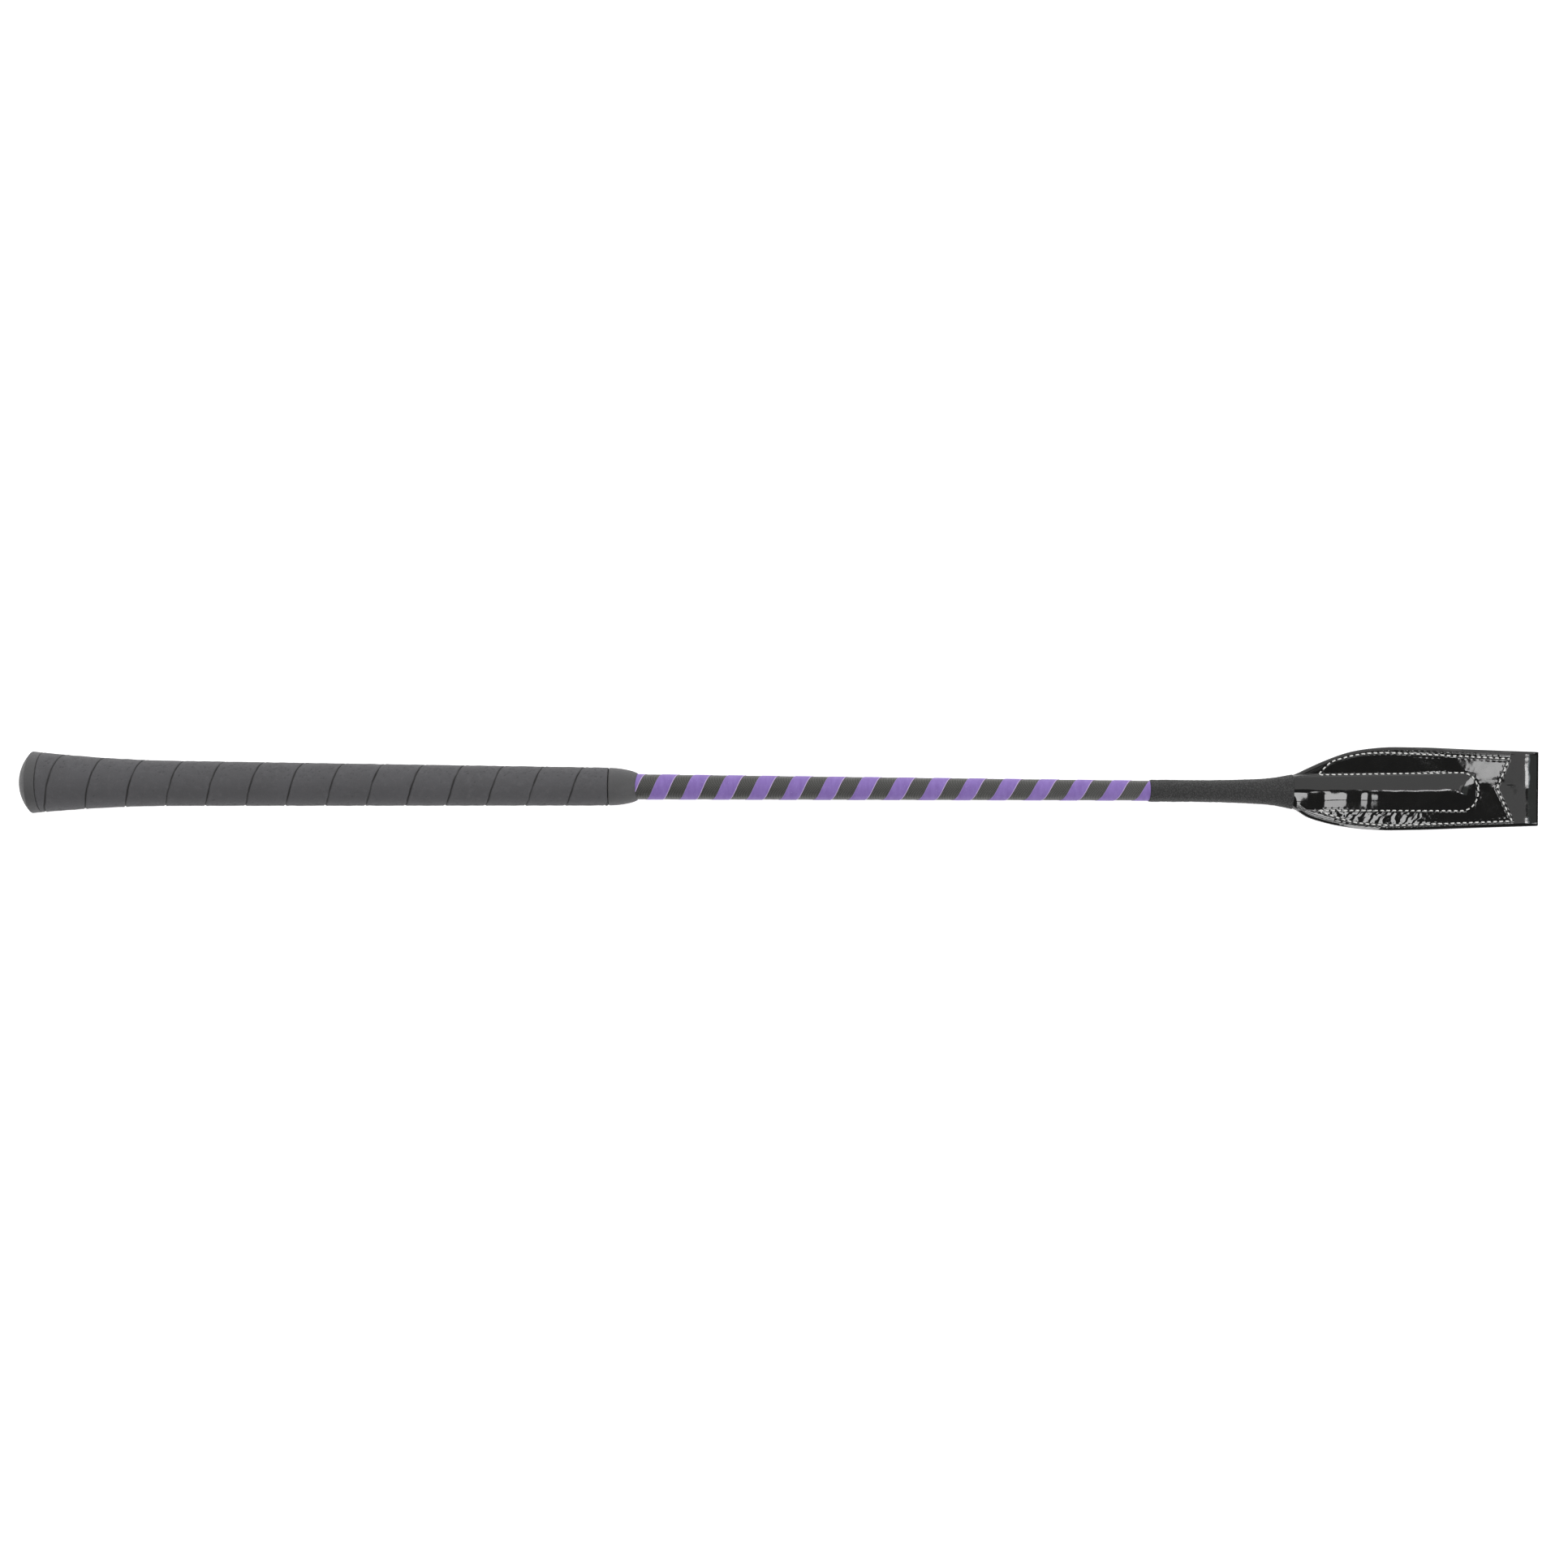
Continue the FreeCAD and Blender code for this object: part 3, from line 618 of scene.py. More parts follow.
def foam():
    """Dense closed-cell foam."""
    f = Finish("foam_finish", lay=False)
    cell = f.ranged(f.cells(0.8), 0.0, 0.7)
    return f.patterned(cell, (0.28, 0.28, 0.29), (0.2, 0.2, 0.21), (0, 1), (0.75, 0.95), -0.2)


def tape():
    """Cloth tape with a crossed weave."""
    f = Finish("tape_finish", lay=False)
    weave = f.worked("MULTIPLY", f.wave(0.7, "X"), f.wave(0.7, "Y"))
    return f.patterned(weave, (0.62, 0.6, 0.52), (0.84, 0.82, 0.74), (0, 1), (0.6, 0.85), 0.08)


def hidden_rubber(name):
    """Black rubber of the grip's underlisting and the rod's tip cap."""
    f = Finish(name, lay=False)
    return f.patterned(f.noise(1.0, 5.0), grey(0.03), grey(0.07), (0.2, 0.8), (0.55, 0.85), 0.08)


def black_thread():
    """Waxed black winding thread."""
    f = Finish("binding_finish", lay=False)
    ply = f.wave(0.3, "DIAGONAL")
    return f.patterned(ply, grey(0.015), grey(0.05), (0, 1), (0.45, 0.65), 0.05)


# ------------------------------------------------ grip and shaft

def grip_radius(x):
    """Outside of the wrap: a butt flare that runs out into a plain taper."""
    flare = np.maximum(0.0, WAIST - x) ** 2 / (2 * FLARE_RADIUS)
    return WAIST_RADIUS - GRIP_TAPER * (x - WAIST) + flare


def cover_radius(x):
    """Outside of the shaft's covering."""
    return COVER_RADIUS - COVER_TAPER * (x - COVER_START)


def butt_cap():
    """Domed end with a rounded rim and a short side that meets the wrap."""
    ball = (CAP_DOME ** 2 + CAP_RIM_RADIUS ** 2) / (2 * CAP_DOME)
    reach = np.concatenate([np.linspace(0, CAP_RIM_RADIUS - 1.0, 26), [12.8, 13.05]])
    dome = [(ball - math.sqrt(ball * ball - r * r), r) for r in reach]
    side_end = float(grip_radius(9.3))
    side = [(7.2, 13.24), (8.4, 13.10), (9.1, side_end + 0.02), (9.32, side_end - 0.05),
            (9.45, side_end - 0.25), (9.5, side_end - 0.6)]
    points = turned(dome + CAP_RIM + side + CAP_SPIGOT, CAP_STEPS)
    obj = piece("butt_cap_moulding", points, grid_faces(len(points), CAP_STEPS),
                MOULDED)
    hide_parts("butt_cap")
    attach(obj, "crop")


def strip_stations():
    """Places over the width of the wound strip, closer together beside its seams."""
    near = [0.0, 0.16, 0.34, 0.55, 0.85, 1.25, 1.7]
    middle = np.arange(2.2, WRAP_PITCH - 1.4, 0.55)
    far = [WRAP_PITCH - v for v in (1.1, 0.75, 0.5, 0.3, 0.15)]
    return np.array([*near, *middle, *far])


def wrap_relief(across, near_end, sway, bite):
    """Height of the wound strip over its width: deep seams, a lip, a slight crown."""
    seam = hump(across + sway, 0.0, 0.34) + hump(across + sway, WRAP_PITCH, 0.34)
    lip = 0.09 * hump(across, 0.95, 0.45) + 0.04 * hump(across, WRAP_PITCH - 0.9, 0.5)
    crown = 0.07 * np.sin(math.pi * across / WRAP_PITCH)
    return near_end * (crown + lip - bite * seam)


def wrap_pits(across, x, turn):
    """Depth of the pinholes, which lie in loose rows at the sides of the grip."""
    draw = np.random.default_rng(7)
    crowd = sum(share * hump(turn, place, width) for place, width, share in PIT_ROWS)
    band = (across > 2.2) & (across < WRAP_PITCH - 2.2)
    holes = draw.random(across.shape) < (0.10 * crowd + 0.004) * band
    return np.where(holes & (x > GRIP_START + 2) & (x < GRIP_END - 2), PIT_DEPTH, 0.0)


def strip_faces(x, per_turn):
    """Quads of the strip: each row of the grid runs on into the row one turn further."""
    rows, steps = x.shape
    flat = x.reshape(-1)
    faces = []
    for i in range(rows - 1):
        for j in range(steps):
            row, column = (i, j + 1) if j + 1 < steps else (i + per_turn, 0)
            if row + 1 >= rows:
                continue
            right = row * steps + column
            quad = [i * steps + j, right, right + steps, (i + 1) * steps + j]
            ends = flat[quad]
            if ends.min() < GRIP_END - 1e-6 and ends.max() > GRIP_START + 1e-6:
                faces.append(quad)
    return faces


def wrap_inside():
    """Points and faces of the wrap's ends and bore."""
    xs = np.linspace(GRIP_START, GRIP_END, 60)
    bore = [(x, float(grip_radius(x)) - WRAP_WALL) for x in xs]
    start = (GRIP_START, float(grip_radius(GRIP_START)) - 0.22)
    end = (GRIP_END, float(grip_radius(GRIP_END)) - 0.22)
    profile = [start, *bore, end]
    points = turned(profile, GRIP_STEPS)
    return points.reshape(-1, 3), grid_faces(len(profile), GRIP_STEPS)


def grip_wrap():
    """The strip wound round the grip, one skin whose grid follows the helix."""
    stations = strip_stations()
    first, last = WRAP_TURNS
    turns = np.repeat(np.arange(first, last), len(stations))
    across = np.tile(stations, last - first)[:, None]
    turn = (np.arange(GRIP_STEPS) / GRIP_STEPS)[None, :]
    x = WRAP_SEAM_START + WRAP_PITCH * (turns[:, None] + turn) + across
    x = np.clip(x, GRIP_START, GRIP_END)
    across, turn = np.broadcast_arrays(across, turn)
    angle = 2 * math.pi * turn
    near_end = smooth_step(x, GRIP_START, GRIP_START + 0.7)
    near_end = near_end * (1 - smooth_step(x, GRIP_END - 0.7, GRIP_END))
    rounding = 0.22 * (hump(x, GRIP_START, 0.25) + hump(x, GRIP_END, 0.25))
    uneven = 0.035 * round_waves(x, angle, 10.0, 7.0, 3) * near_end
    sway = 0.09 * round_waves(x, angle, 10.0, 7.0, 8)
    bite = SEAM_DEPTH + 0.07 * round_waves(x, angle, 10.0, 9.0, 9)
    relief = wrap_relief(across, near_end, sway, bite)
    relief = relief - wrap_pits(across, x, turn) + uneven - rounding
    radius = grip_radius(x) + relief
    points = np.stack([x, -radius * np.cos(angle), radius * np.sin(angle)], -1)
    inner, inner_faces = wrap_inside()
    faces = strip_faces(x, len(stations))
    faces += [[v + x.size for v in face] for face in inner_faces]
    points = np.concatenate([points.reshape(-1, 3), inner])
    relief = np.concatenate([relief.reshape(-1), np.zeros(len(inner))])
    obj = piece("grip_wrap_strip", points, faces, GRIP, relief=relief)
    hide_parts("grip_wrap")
    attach(obj, "crop")


def nose_collar():
    """Smooth collar that closes the grip against the shaft, its mouth cut uneven."""
    start = float(grip_radius(GRIP_END))
    outside = [(COLLAR_START, start - 0.55), (COLLAR_START + 0.05, start - 0.22),
               (COLLAR_START + 0.3, start - 0.03), *COLLAR_NOSE]
    inside = [(267.0, 5.66), (258.0, 5.72), (COLLAR_START + 0.02, 5.74)]
    points = turned(outside + inside, COLLAR_STEPS)
    x, y = points[..., 0], points[..., 1]
    cut = smooth_step(x, COLLAR_CUT, COLLAR_CUT + 6.0)
    points[..., 0] = x + 0.9 * cut * (y / 5.8) ** 2 - 0.8 * cut
    faces = grid_faces(len(points), COLLAR_STEPS, loop_rows=True)
    obj = piece("nose_collar_moulding", points, faces, MOULDED)
    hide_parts("nose_collar")
    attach(obj, "crop")


def shaft_cover():
    """Glossy black covering, slightly uneven under its lacquer."""
    xs = np.linspace(COVER_START, COVER_END, 360)
    points = turned([(x, cover_radius(x)) for x in xs], COVER_STEPS)
    x, y, z = np.moveaxis(points, -1, 0)
    swell = 1 + 0.0036 * round_waves(x, np.arctan2(z, -y), 5.2, 5.0, 11)
    points[..., 1:] *= swell[..., None]
    bore = turned([(COVER_END, 3.6), (COVER_START, 4.85)], COVER_STEPS)
    points = np.concatenate([points, bore])
    faces = grid_faces(len(points), COVER_STEPS, loop_rows=True)
    obj = piece("shaft_cover_skin", points, faces, COVER)
    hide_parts("shaft_cover")
    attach(obj, "crop")


def stripe_tape():
    """Purple band wound over the cover, thin and soft at its edges."""
    first, last = STRIPE_TURNS
    turns = np.linspace(first, last, int((last - first) * STRIPE_STEPS))
    left = STRIPE_START + STRIPE_PITCH * turns + STRIPE_STRETCH * turns ** 2
    width = STRIPE_WIDTH + STRIPE_WIDENING * turns
    across, height = np.array(STRIPE_SECTION).T
    wobble = 0.05 * waves(turns * 12.0, 0 * turns, 9.0, 5)
    x = left[:, None] + width[:, None] * across + wobble[:, None]
    radius = cover_radius(x) + height
    angle = 2 * math.pi * turns[:, None]
    points = np.stack([x, -radius * np.cos(angle), radius * np.sin(angle)], -1)
    girth = STRIPE_GIRTH * turns[:, None] + 0 * x
    lay = np.stack([x, girth, across + 0 * x], -1)
    rows, count = x.shape
    faces = grid_faces(rows, count)
    faces += [row_face(0, count), row_face(rows - 1, count)[::-1]]
    obj = piece("stripe_tape_band", points, faces, PURPLE, lay)
    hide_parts("stripe_tape")
    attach(obj, "crop")


def neck_sleeve():
    """Grained sleeve over the neck, flat and wide where the flap comes out."""
    body = np.linspace(SLEEVE_START + 0.4, SLEEVE_END - 0.25, 190)
    xs = np.array([SLEEVE_START, SLEEVE_START + 0.12, *body, SLEEVE_END])[:, None]
    angle = 2 * math.pi * np.arange(SLEEVE_STEPS) / SLEEVE_STEPS
    grain = 0.035 * round_waves(xs, angle, SLEEVE_GIRTH_RADIUS, 1.7, 21, count=14)
    grain = grain + 0.03 * round_waves(xs, angle, SLEEVE_GIRTH_RADIUS, 6.0, 22)
    grain = grain * smooth_step(xs, SLEEVE_START, SLEEVE_START + 1.5)
    lip = -0.14 * hump(xs, SLEEVE_START, 0.15) - 0.12 * hump(xs, SLEEVE_END, 0.2)
    y = -(through(SLEEVE_SHAPE, xs, 1) + lip + grain) * np.cos(angle)
    z = (through(SLEEVE_SHAPE, xs, 2) + lip + grain) * np.sin(angle)
    slant = 0.45 * (1 - smooth_step(xs, SLEEVE_START, SLEEVE_START + 6))
    outside = np.stack([xs - slant * np.cos(angle + 0.3), y, z], -1)
    xs = np.array([SLEEVE_END, 545.0, 537.0, 528.0, 519.0, SLEEVE_START])[:, None]
    y = -(through(SLEEVE_SHAPE, xs, 1) - SLEEVE_WALL) * np.cos(angle)
    z = (through(SLEEVE_SHAPE, xs, 2) - SLEEVE_WALL) * np.sin(angle)
    inside = np.stack([xs + 0 * y, y, z], -1)
    points = np.concatenate([outside, inside])
    faces = grid_faces(len(points), SLEEVE_STEPS, loop_rows=True)
    obj = piece("neck_sleeve_cloth", points, faces, GRAIN)
    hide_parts("neck_sleeve")
    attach(obj, "crop")


# ------------------------------------------------ flap

def curve(table, count):
    """Points along a smooth curve through a table of (x, y)."""
    xs = np.linspace(table[0][0], table[-1][0], count)
    return np.stack([xs, through(table, xs)], -1)


def u_turn(one, middle, other):
    """Half of an ellipse from one point to another through the middle one."""
    t = np.linspace(0, math.pi, 70)
    centre = (np.array(one) + np.array(other)) / 2
    out = np.array(middle) - centre
    half = np.array(one) - centre
    return centre + np.cos(t)[:, None] * half + np.sin(t)[:, None] * out


def stitch_path():
    """Outer line and inner U of the stitching, as dense points in the flap's plane."""
    runs = [curve(STITCH_UPPER, 120)]
    corners = [STITCH_UPPER[-1], *STITCH_NOTCH, STITCH_LOWER[-1]]
    for one, other in zip(corners, corners[1:]):
        runs.append(np.linspace(one, other, 80)[1:])
    runs.append(curve(STITCH_LOWER, 100)[::-1][1:])
    inner = [np.linspace(STITCH_UPPER[0], STITCH_U_UP, 120)[:-1],
             u_turn(STITCH_U_UP, STITCH_U_END, STITCH_U_LOW),
             np.linspace(STITCH_U_LOW, STITCH_LOWER[0], 120)[1:]]
    return np.concatenate(runs), np.concatenate(inner)


def measured(path):
    """Length along a path at each of its points."""
    steps = np.hypot(*np.diff(path, axis=0).T)
    return np.concatenate([[0.0], np.cumsum(steps)])


def stitch_nearness(x, y, paths):
    """Each point's distance to the stitching, and its phase within the stitch pitch."""
    flat = np.stack([x.ravel(), y.ravel()], -1)
    best = np.full(len(flat), 1e9)
    phase = np.zeros(len(flat))
    for path in paths:
        length = measured(path)
        pitch = length[-1] / round(length[-1] / STITCH_PITCH)
        for start in range(0, len(flat), CHUNK):
            part = slice(start, start + CHUNK)
            away = flat[part, None] - path[None, :]
            gap = np.hypot(away[..., 0], away[..., 1])
            nearest = gap.argmin(1)
            shortest = gap[np.arange(len(gap)), nearest]
            closer = shortest < best[part]
            best[part][closer] = shortest[closer]
            phase[part][closer] = (length[nearest] / pitch % 1.0)[closer]
    return best.reshape(x.shape), phase.reshape(x.shape)


def pocket_share(x, y):
    """1 on the pocket's crest, 0 at its foot and beyond."""
    end = 1 - np.clip((x - (POCKET_END - POCKET_ROUND)) / POCKET_ROUND, 0, 1) ** 2
    foot = np.where(y > 0, through(UPPER_FOOT, x), through(LOWER_FOOT, x))
    q = np.clip(1 - (y / foot) ** 2, 0, 1) * end
    power = 0.5 + 0.3 * smooth_step(x, 553.0, 568.0)
    return q ** power


def notch_x(y):
    """Where the swallow-tail line of stitching crosses the flap."""
    return np.interp(y, *zip(*NOTCH_LINE))


def rise_lead(y):
    """How much sooner the plate rises near the upper edge."""
    return RISE_LEAD * smooth_step(y, 9.0, 17.0)


def patch_height(x, y, rise):
    """The upper wing past the pocket: higher, and sloping down to the notch."""
    lead = rise_lead(y)
    reach = notch_x(y) - PATCH_START
    into_patch = np.clip(x - PATCH_START + lead, 0, reach + lead) * reach / (reach + lead)
    return smooth_step(y, 0.5, 4.5) * (PATCH_HEIGHT * rise - PATCH_SLOPE * into_patch)


def tip_drop(x, y, face):
    """How far the plate has sloped down past the notch and the fold."""
    wavy = FOLD_WAVE * smooth_step(y, -5.0, 1.0)
    fold_line = FOLD_LINE + wavy * waves(y, 0 * y, 8.0, 44 if face > 0 else 64)
    past = np.clip(x - fold_line + FOLD_LENGTH / 2, 0, None)
    past = np.where(past < FOLD_LENGTH, past * past / (2 * FOLD_LENGTH), past - FOLD_LENGTH / 2)
    return TIP_SLOPE * np.clip(x - notch_x(y), 0, None) + FOLD_SLOPE * past


def flap_height(x, y, face):
    """Outside of the leather above the flap's middle plane (face is 1 front, -1 back), with
    how far the plate has grown, the pocket's share and the distance to the outline."""
    grow = smooth_step(x, PLATE_START, PLATE_GROWN)
    rim = np.minimum(through(UPPER_EDGE, x) - y, y - through(LOWER_EDGE, x))
    inner = np.clip(rim / RIM_WIDTH, 0.0, 1.0)
    plate = EDGE_HALF * grow
    plate = plate + (PLATE_HALF - EDGE_HALF) * grow * inner * inner * (3 - 2 * inner)
    lead = rise_lead(y)
    rise = smooth_step(x, RISE_SPAN[0] - lead, RISE_SPAN[1] - lead)
    raised = RISE_HEIGHT * rise + patch_height(x, y, rise)
    plate = plate + (raised - tip_drop(x, y, face)) * inner
    share = pocket_share(x, y)
    z = plate + np.maximum(through(NECK, x, 2) - plate, 0) * share
    corner = np.clip(1 - rim / RIM_ROUND, 0, 1) * grow
    z = z - RIM_ROUND * (1 - np.sqrt(np.maximum(0, 1 - corner * corner)))
    return z, grow, share, rim


def pane_height(x):
    """Slow waves along the pocket, as the running total of their slopes."""
    at, slope = np.array(PANE_SLOPES).T
    fine = np.arange(at[0], at[-1], PANE_STEP)
    total = np.cumsum(np.interp(fine, at, slope)) * PANE_STEP
    fade = 1 - smooth_step(x, 600.0, 630.0)
    return np.interp(x, fine, total) * fade


def pucker(gap, phase):
    """Groove under the thread, with a low ridge and short rays beside it."""
    beat = np.cos(2 * math.pi * phase)
    groove = -PUCKER_DEPTH * hump(gap, 0, 0.42) * (0.45 + 0.25 * beat)
    return groove + 0.012 * hump(gap, 1.0, 0.5) + 0.010 * beat * hump(gap, 0.9, 0.6)


def pleats(x, y, seed):
    """Slanting pleats that fade out round the lower wing."""
    line = through(STITCH_LOWER, np.clip(x, STITCH_LOWER[0][0], STITCH_LOWER[-1][0]))
    wing = smooth_step(x, 562, 570) * (1 - smooth_step(x, 596, 618))
    wing = wing * (1 - smooth_step(y, -9.2, -7.6))
    wing = wing * (0.2 + 0.8 * smooth_step(y, line - 0.4, line + 0.6))
    drift = 1.1 * waves(x, y, 5.0, seed + 2)
    step = ((x - 0.8 * y + drift) / PLEAT_PITCH) % 1.0
    pleat = np.where(step < PLEAT_CREST, step / PLEAT_CREST, (1.0 - step) / (1.0 - PLEAT_CREST))
    uneven = 0.8 + 0.35 * waves(x, y, 3.5, seed + 5)
    height = PLEAT_HEIGHT * pleat * uneven + 0.009 * waves(x, y, 1.5, seed + 6)
    return (height + 0.10 * (y + 8.5)) * wing


def flap_skin(x, y, face, paths):
    """Height of the finished leather: puckers, pleats, dents and creases included."""
    seed = 40 if face > 0 else 60
    z, grow, share, rim = flap_height(x, y, face)
    plain = grow * (1 - share)
    soft = (0.012 * waves(x, y, 12.0, seed) + 0.0022 * waves(x, y, 3.0, seed + 1)) * plain
    lower = (1 - smooth_step(y, -1.6, 0.4)) * smooth_step(x, 548, 552)
    pane = pane_height(x) * lower * share
    dent = -0.03 * hump(y, 3.2 + 0.05 * (x - 647.0) ** 2, 0.3) * hump(x, 647.2, 2.2)
    ragged = 0.006 * waves(x, y, 2.6, seed + 7) * smooth_step(x, 612, 618)
    ragged = ragged * (1 - smooth_step(x, 628, 634)) * smooth_step(y, 4, 7)
    creases = -0.045 * hump(rim, 1.75, 0.28) - 0.03 * hump(rim, 2.45, 0.22)
    creases = creases * grow * (1 - smooth_step(x, 645, 652))
    relief = pucker(*stitch_nearness(x, y, paths)) + pleats(x, y, seed)
    relief = relief + soft + pane + dent + ragged + creases
    keep = smooth_step(FLAP_END - x, 0.3, 2.5) * np.clip(rim / 0.8, 0, 1)
    crest = 0.012 * waves(x, y * 2, 9.0, seed + 3)
    crest = crest + 0.018 * waves(x, y, 3.4, seed + 8) * smooth_step(x, 621, 628)
    return z + relief * keep + crest * share * smooth_step(x, 550, 560)


def flap_stations():
    """Places along the flap for its rows, closer together at the ends."""
    end = FLAP_END - EDGE_HALF
    fold = EDGE_HALF * np.sin(np.linspace(0, math.pi / 2, 8))
    parts = [np.linspace(FLAP_START, 552.0, 14)[:-1], np.linspace(552.0, 650.0, 270)[:-1],
             np.linspace(650.0, end, 36)[:-1], end + fold]
    return np.concatenate(parts)


def flap_outline(xs, round_end):
    """Lower and upper edge at each row, from the neck's width to the rounded end."""
    neck = smooth_step(xs, *NECK_END)
    half = through(NECK, xs, 1)
    low, up = through(LOWER_EDGE, xs), through(UPPER_EDGE, xs)
    low = np.where(xs < NECK_END[1], -half * (1 - neck) + low * neck, low)
    up = np.where(xs < NECK_END[1], half * (1 - neck) + up * neck, up)
    return low + 0.5 * (1 - round_end), up - 0.5 * (1 - round_end)


def flap_leather(paths):
    """One strip of patent leather, folded back at the far end over pocket and padding."""
    xs = flap_stations()
    t = np.linspace(-1, 1, 121)
    spread = 0.62 * t + 0.38 * np.sin(t * math.pi / 2)
    tail = np.clip((xs - (FLAP_END - EDGE_HALF)) / EDGE_HALF, 0, 1)
    round_end = np.sqrt(np.maximum(0, 1 - tail ** 2))
    low, up = flap_outline(xs, round_end)
    x = np.repeat(xs[:, None], len(t), 1)
    y = low[:, None] + (up - low)[:, None] * (spread[None, :] + 1) / 2
    front, back = [face * flap_skin(x, y, face, paths) * round_end[:, None] for face in (1, -1)]
    grow = smooth_step(xs, PLATE_START, PLATE_GROWN)
    gap = GROOVE_DEPTH * grow * (1 - smooth_step(xs, 655.0, 658.5))
    edge = EDGE_HALF * grow * round_end
    upper_rim = [np.stack([xs, up - gap * a, edge * b], -1) for a, b in EDGE_GROOVE]
    lower_rim = [np.stack([xs, low + gap * a, -edge * b], -1) for a, b in EDGE_GROOVE]
    points = np.concatenate([np.stack([x, y, front], -1), np.stack(upper_rim, 1),
                             np.stack([x, y, back], -1)[:, ::-1], np.stack(lower_rim, 1)], 1)
    rows, count = points.shape[:2]
    skin = np.ones((rows, count))
    rim_points = len(EDGE_GROOVE)
    for start in (len(t), 2 * len(t) + rim_points):
        cut = 1 - (1 - CUT_EDGE) * grow
        skin[:, start:start + rim_points] = cut[:, None]
    lay = np.stack([points[..., 0] + 30 * (points[..., 2] < 0), points[..., 1], skin], -1)
    faces = [*grid_faces(rows, count), row_face(0, count)]
    obj = piece("flap_leather", points, faces, PATENT, lay)
    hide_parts("flap_front", "flap_back", "flap_fold")
    bent(obj)


def bent(obj):
    """Bakes a soft piece's placement into its mesh."""
    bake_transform(obj)


def felt_padding():
    """Felt between the leathers, full round the rod and thin in the wings."""
    xs = np.concatenate([np.linspace(556, 640, 60), [643, 646, 648.5, 650]])
    t = np.linspace(-1, 1, 41)
    margin = 2.0 + 2.5 * smooth_step(xs, 552, 575)
    low = through(LOWER_EDGE, xs) + margin
    up = through(UPPER_EDGE, xs) - margin
    x = np.repeat(xs[:, None], len(t), 1)
    y = low[:, None] + (up - low)[:, None] * (t[None, :] + 1) / 2
    z = np.maximum(flap_height(x, y, 1)[0] - LEATHER_THICKNESS - 0.15, 0.12)
    z = z * (1 - np.abs(t[None, :]) ** 8) + 0.02
    points = np.concatenate([np.stack([x, y, z], -1), np.stack([x, y, -z], -1)[:, ::-1]], 1)
    rows, count = points.shape[:2]
    faces = [*grid_faces(rows, count), row_face(0, count), row_face(rows - 1, count)[::-1]]
    obj = piece("flap_felt", points, faces, FELT)
    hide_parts("flap_padding", "fold_padding")
    bent(obj)


def one_stitch(path, length, middle, reach, sway, face):
    """Rings of one stitch that dives into the leather at both ends, and their lay."""
    u = np.linspace(-1, 1, STITCH_RINGS)
    turn = 2 * math.pi * np.arange(STITCH_SIDES) / STITCH_SIDES
    at = middle + reach * u
    x = np.interp(at, length, path[:, 0])
    y = np.interp(at, length, path[:, 1])
    way = np.array([x[-1] - x[0], y[-1] - y[0]])
    way = way / np.hypot(*way)
    x = x - way[1] * sway * u
    y = y + way[0] * sway * u
    rise = flap_height(x, y, face)[0] - STITCH_SINK + STITCH_RISE * (1 - u ** 2)
    rise = rise - STITCH_DIVE * u ** 6
    thick = THREAD_RADIUS * np.sqrt(np.maximum(0.02, 1 - 0.93 * u ** 8))
    ring_y = np.cos(turn) * thick[:, None]
    ring_z = np.sin(turn) * thick[:, None] * THREAD_FLATNESS
    points = np.stack([x[:, None] - way[1] * ring_y, y[:, None] + way[0] * ring_y,
                       face * (rise[:, None] + ring_z)], -1)
    along = at[:, None] + 0 * ring_y
    lay = np.stack([along, turn * THREAD_RADIUS + 0 * ring_y, 0 * along], -1)
    return points.reshape(-1, 3), lay.reshape(-1, 3)


def stitches(name, face, paths, nodes):
    """White stitches along both lines on one face of the flap."""
    draw = np.random.default_rng(90 + face)
    tube = grid_faces(STITCH_RINGS, STITCH_SIDES)
    tube += [row_face(0, STITCH_SIDES), row_face(STITCH_RINGS - 1, STITCH_SIDES)[::-1]]
    points, lay, faces = [], [], []
    for path in paths:
        length = measured(path)
        count = round(length[-1] / STITCH_PITCH)
        pitch = length[-1] / count
        for i in range(count):
            reach = STITCH_LENGTH * draw.uniform(0.94, 1.04) / 2
            sway = draw.uniform(-0.07, 0.07)
            rings, ring_lay = one_stitch(path, length, pitch * (i + 0.5), reach, sway, face)
            faces += [[v + len(points) * len(rings) for v in ring] for ring in tube]
            points.append(rings)
            lay.append(ring_lay + (40 * i, 0, 0))
    obj = piece(name, np.concatenate(points), faces, WHITE, np.concatenate(lay))
    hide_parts(*nodes)
    bent(obj)


# ------------------------------------------------ hidden pieces

def repaint(node, finish):
    """A CAD node that keeps its shape gets its own finish."""
    obj = frame["nodes"][node]
    obj.data.materials.clear()
    obj.data.materials.append(finish)


# ------------------------------------------------ studio

def local_matrix(spot, right, up):
    """Placement in the shared frame from a spot and two directions along the rod's axes."""
    right, up = Vector(right).normalized(), Vector(up).normalized()
    back = right.cross(up)
    turn = Matrix((EX, EY, EZ)).transposed() @ Matrix((right, up, back)).transposed()
    place = turn.to_4x4()
    place.translation = Vector(placed([spot])[0])
    return place


def camera():
    """Camera straight above the crop's front face."""
    data = bpy.data.cameras.new("camera")
    data.lens = CAMERA_LENS
    data.sensor_width = CAMERA_SENSOR
    data.clip_end = CAMERA_REACH
    obj = bpy.data.objects.new("camera", data)
    bpy.context.scene.collection.objects.link(obj)
    c, s = math.cos(CAMERA_ROLL), math.sin(CAMERA_ROLL)
    obj.matrix_world = local_matrix(CAMERA_SPOT, (c, s, 0), (-s, c, 0))
    bpy.context.scene.camera = obj


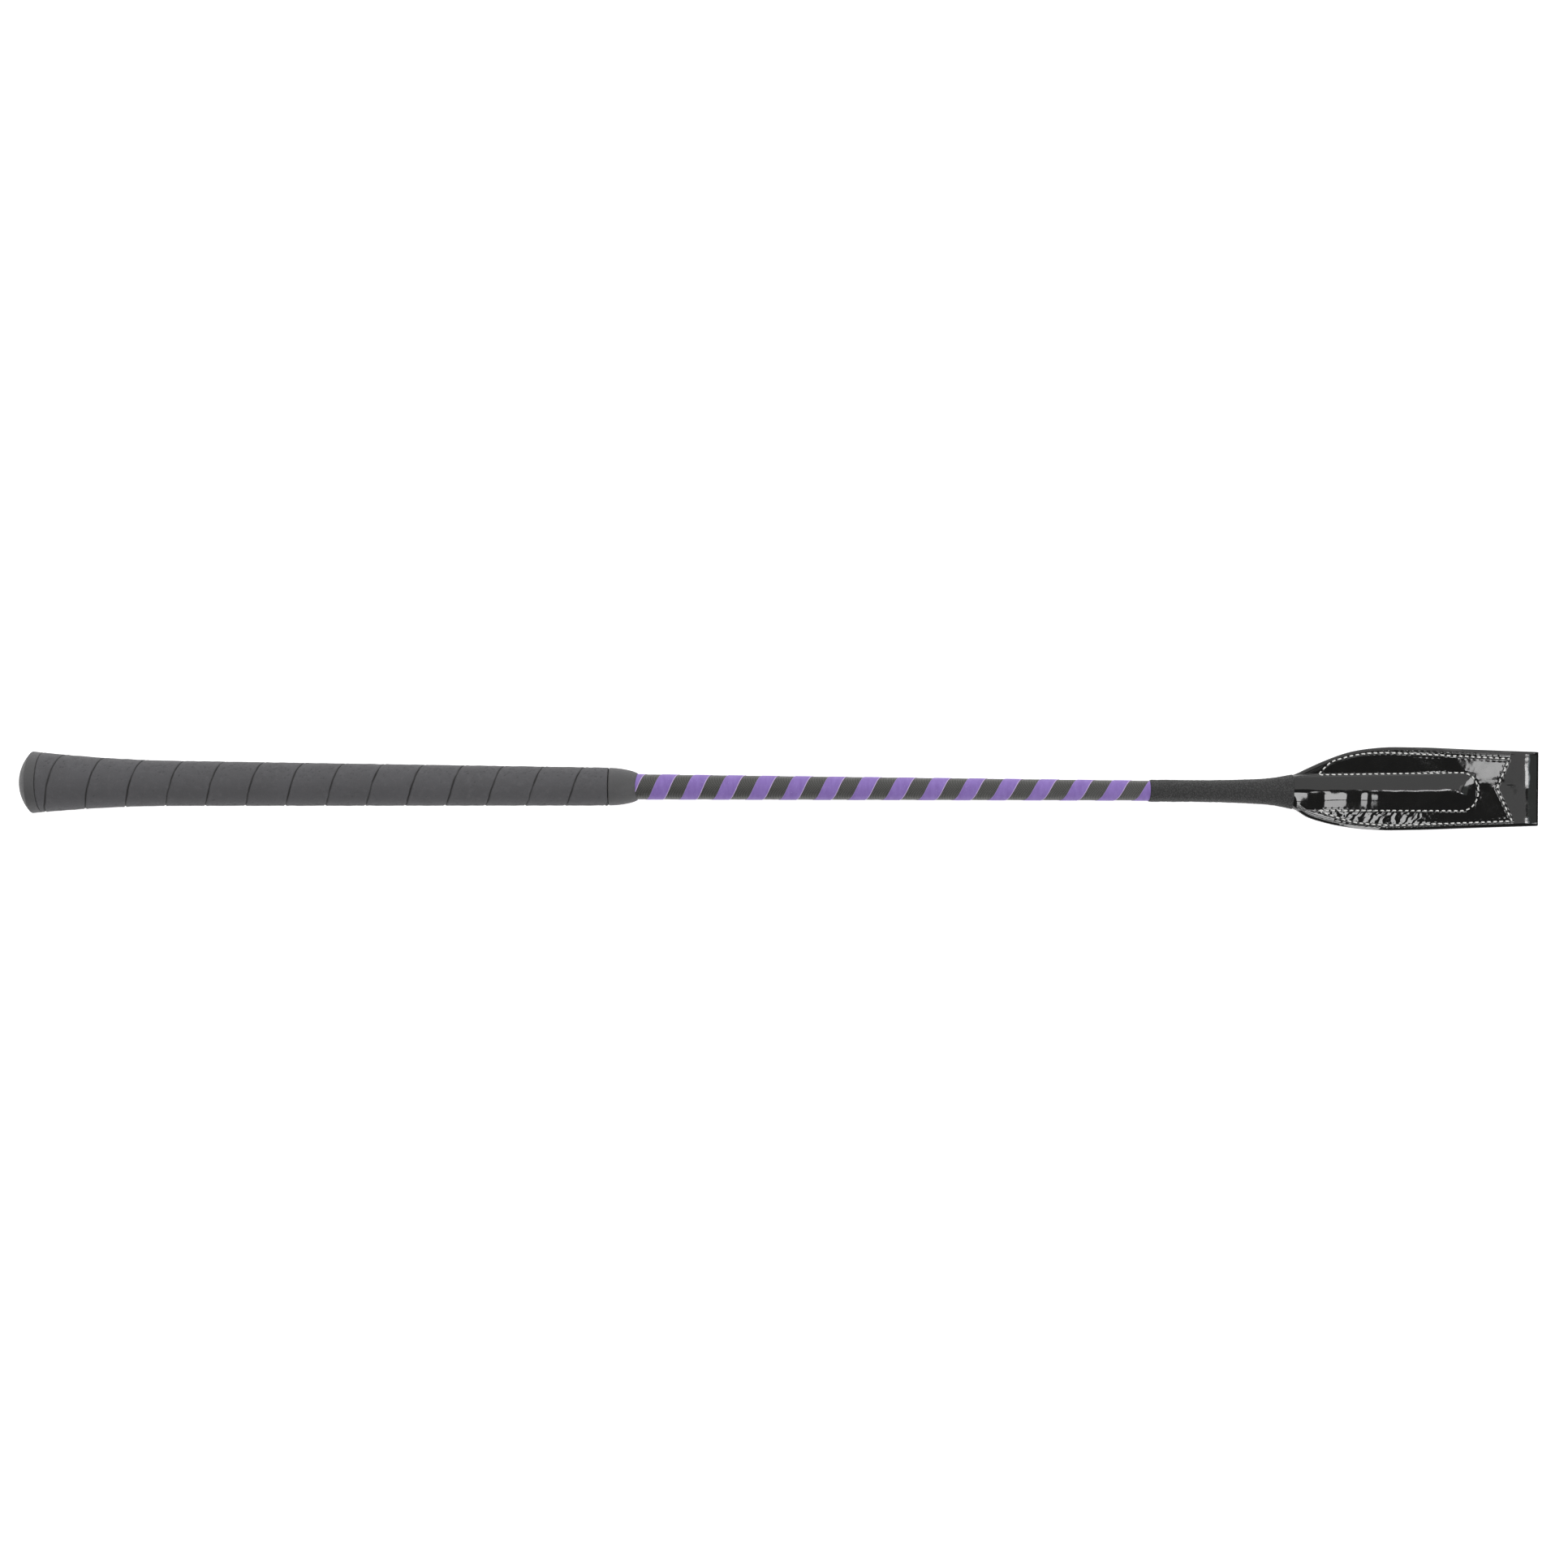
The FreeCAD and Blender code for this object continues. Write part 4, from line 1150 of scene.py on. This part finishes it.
def softbox(name, spot, aim, size, brightness, tint=(1, 1, 1)):
    """Rectangular light at a spot, facing its aim, with a set brightness; sizes in mm."""
    data = bpy.data.lights.new(name, "AREA")
    data.shape = "RECTANGLE"
    data.size, data.size_y = size[0] * MM, size[1] * MM
    data.energy = brightness * math.pi * data.size * data.size_y
    data.color = tint
    obj = bpy.data.objects.new(name, data)
    bpy.context.scene.collection.objects.link(obj)
    back = (Vector(spot) - Vector(aim)).normalized()
    right = Vector((1, 0, 0))
    up = back.cross(right).normalized()
    right = up.cross(back)
    obj.matrix_world = local_matrix(spot, right, up)


def window(name, tilt, height, brightness):
    """Light that shows in the pocket where its lower side slopes by half of tilt degrees."""
    a = math.radians(tilt)
    way = Vector((WINDOW_LEAN, -math.sin(a), math.cos(a))).normalized()
    spot = WINDOW_AIM + way * WINDOW_DISTANCE
    softbox(name, spot, WINDOW_AIM, (WINDOW_WIDTH, height), brightness)


def surroundings():
    """White surroundings, bright to the camera and dim as a light."""
    world = bpy.data.worlds.new("studio")
    bpy.context.scene.world = world
    world.use_nodes = True
    nodes, links = world.node_tree.nodes, world.node_tree.links
    ray = nodes.new("ShaderNodeLightPath")
    strength = nodes.new("ShaderNodeMapRange")
    strength.inputs["To Min"].default_value = ROOM_LIGHT
    strength.inputs["To Max"].default_value = ROOM_SEEN
    links.new(ray.outputs["Is Camera Ray"], strength.inputs["Value"])
    nodes["Background"].inputs["Color"].default_value = (1, 1, 1, 1)
    links.new(strength.outputs["Result"], nodes["Background"].inputs["Strength"])


def pale_floor():
    """A pale, softly glowing floor just under the crop."""
    mesh = bpy.data.meshes.new("floor")
    r = FLOOR_HALF
    mesh.from_pydata([(-r, -r, 0), (r, -r, 0), (r, r, 0), (-r, r, 0)], [], [(0, 1, 2, 3)])
    floor = bpy.data.objects.new("floor", mesh)
    floor.location.z = min(cad_box[0][2], 0.0) - FLOOR_GAP
    bpy.context.scene.collection.objects.link(floor)
    pale = Finish("floor_finish", lay=False)
    pale.set(Base_Color=(0.85, 0.85, 0.85, 1), Emission_Color=(1, 1, 1, 1),
             Emission_Strength=FLOOR_GLOW, Specular_IOR_Level=0.0, Roughness=0.9)
    mesh.materials.append(pale.material)


# ------------------------------------------------ the whole crop

GRIP = grip_rubber()
MOULDED = moulded_rubber()
COVER = cover_black()
PURPLE = stripe_purple()
GRAIN = sleeve_grain()
PATENT = patent_leather()
WHITE = thread("thread_white_finish", (0.62, 0.62, 0.6), (0.9, 0.9, 0.88))
FELT = felt()

camera()
butt_cap()
grip_wrap()
nose_collar()
shaft_cover()
stripe_tape()
neck_sleeve()
stitch_lines = stitch_path()
flap_leather(stitch_lines)
felt_padding()
stitches("stitching_front_thread", 1, stitch_lines, ("stitching_front", "fold_stitching_front"))
stitches("stitching_back_thread", -1, stitch_lines, ("stitching_back", "fold_stitching_back"))
repaint("core_rod", fibreglass())
repaint("handle_former", foam())
repaint("grip_tape", tape())
repaint("grip_underlisting", hidden_rubber("underlisting_finish"))
repaint("rod_tip_cap", hidden_rubber("tip_cap_finish"))
repaint("neck_binding", black_thread())
surroundings()
pale_floor()
for settings in SOFTBOXES:
    softbox(*settings)
for settings in WINDOWS:
    window(*settings)
bpy.context.scene.view_settings.view_transform = "Standard"
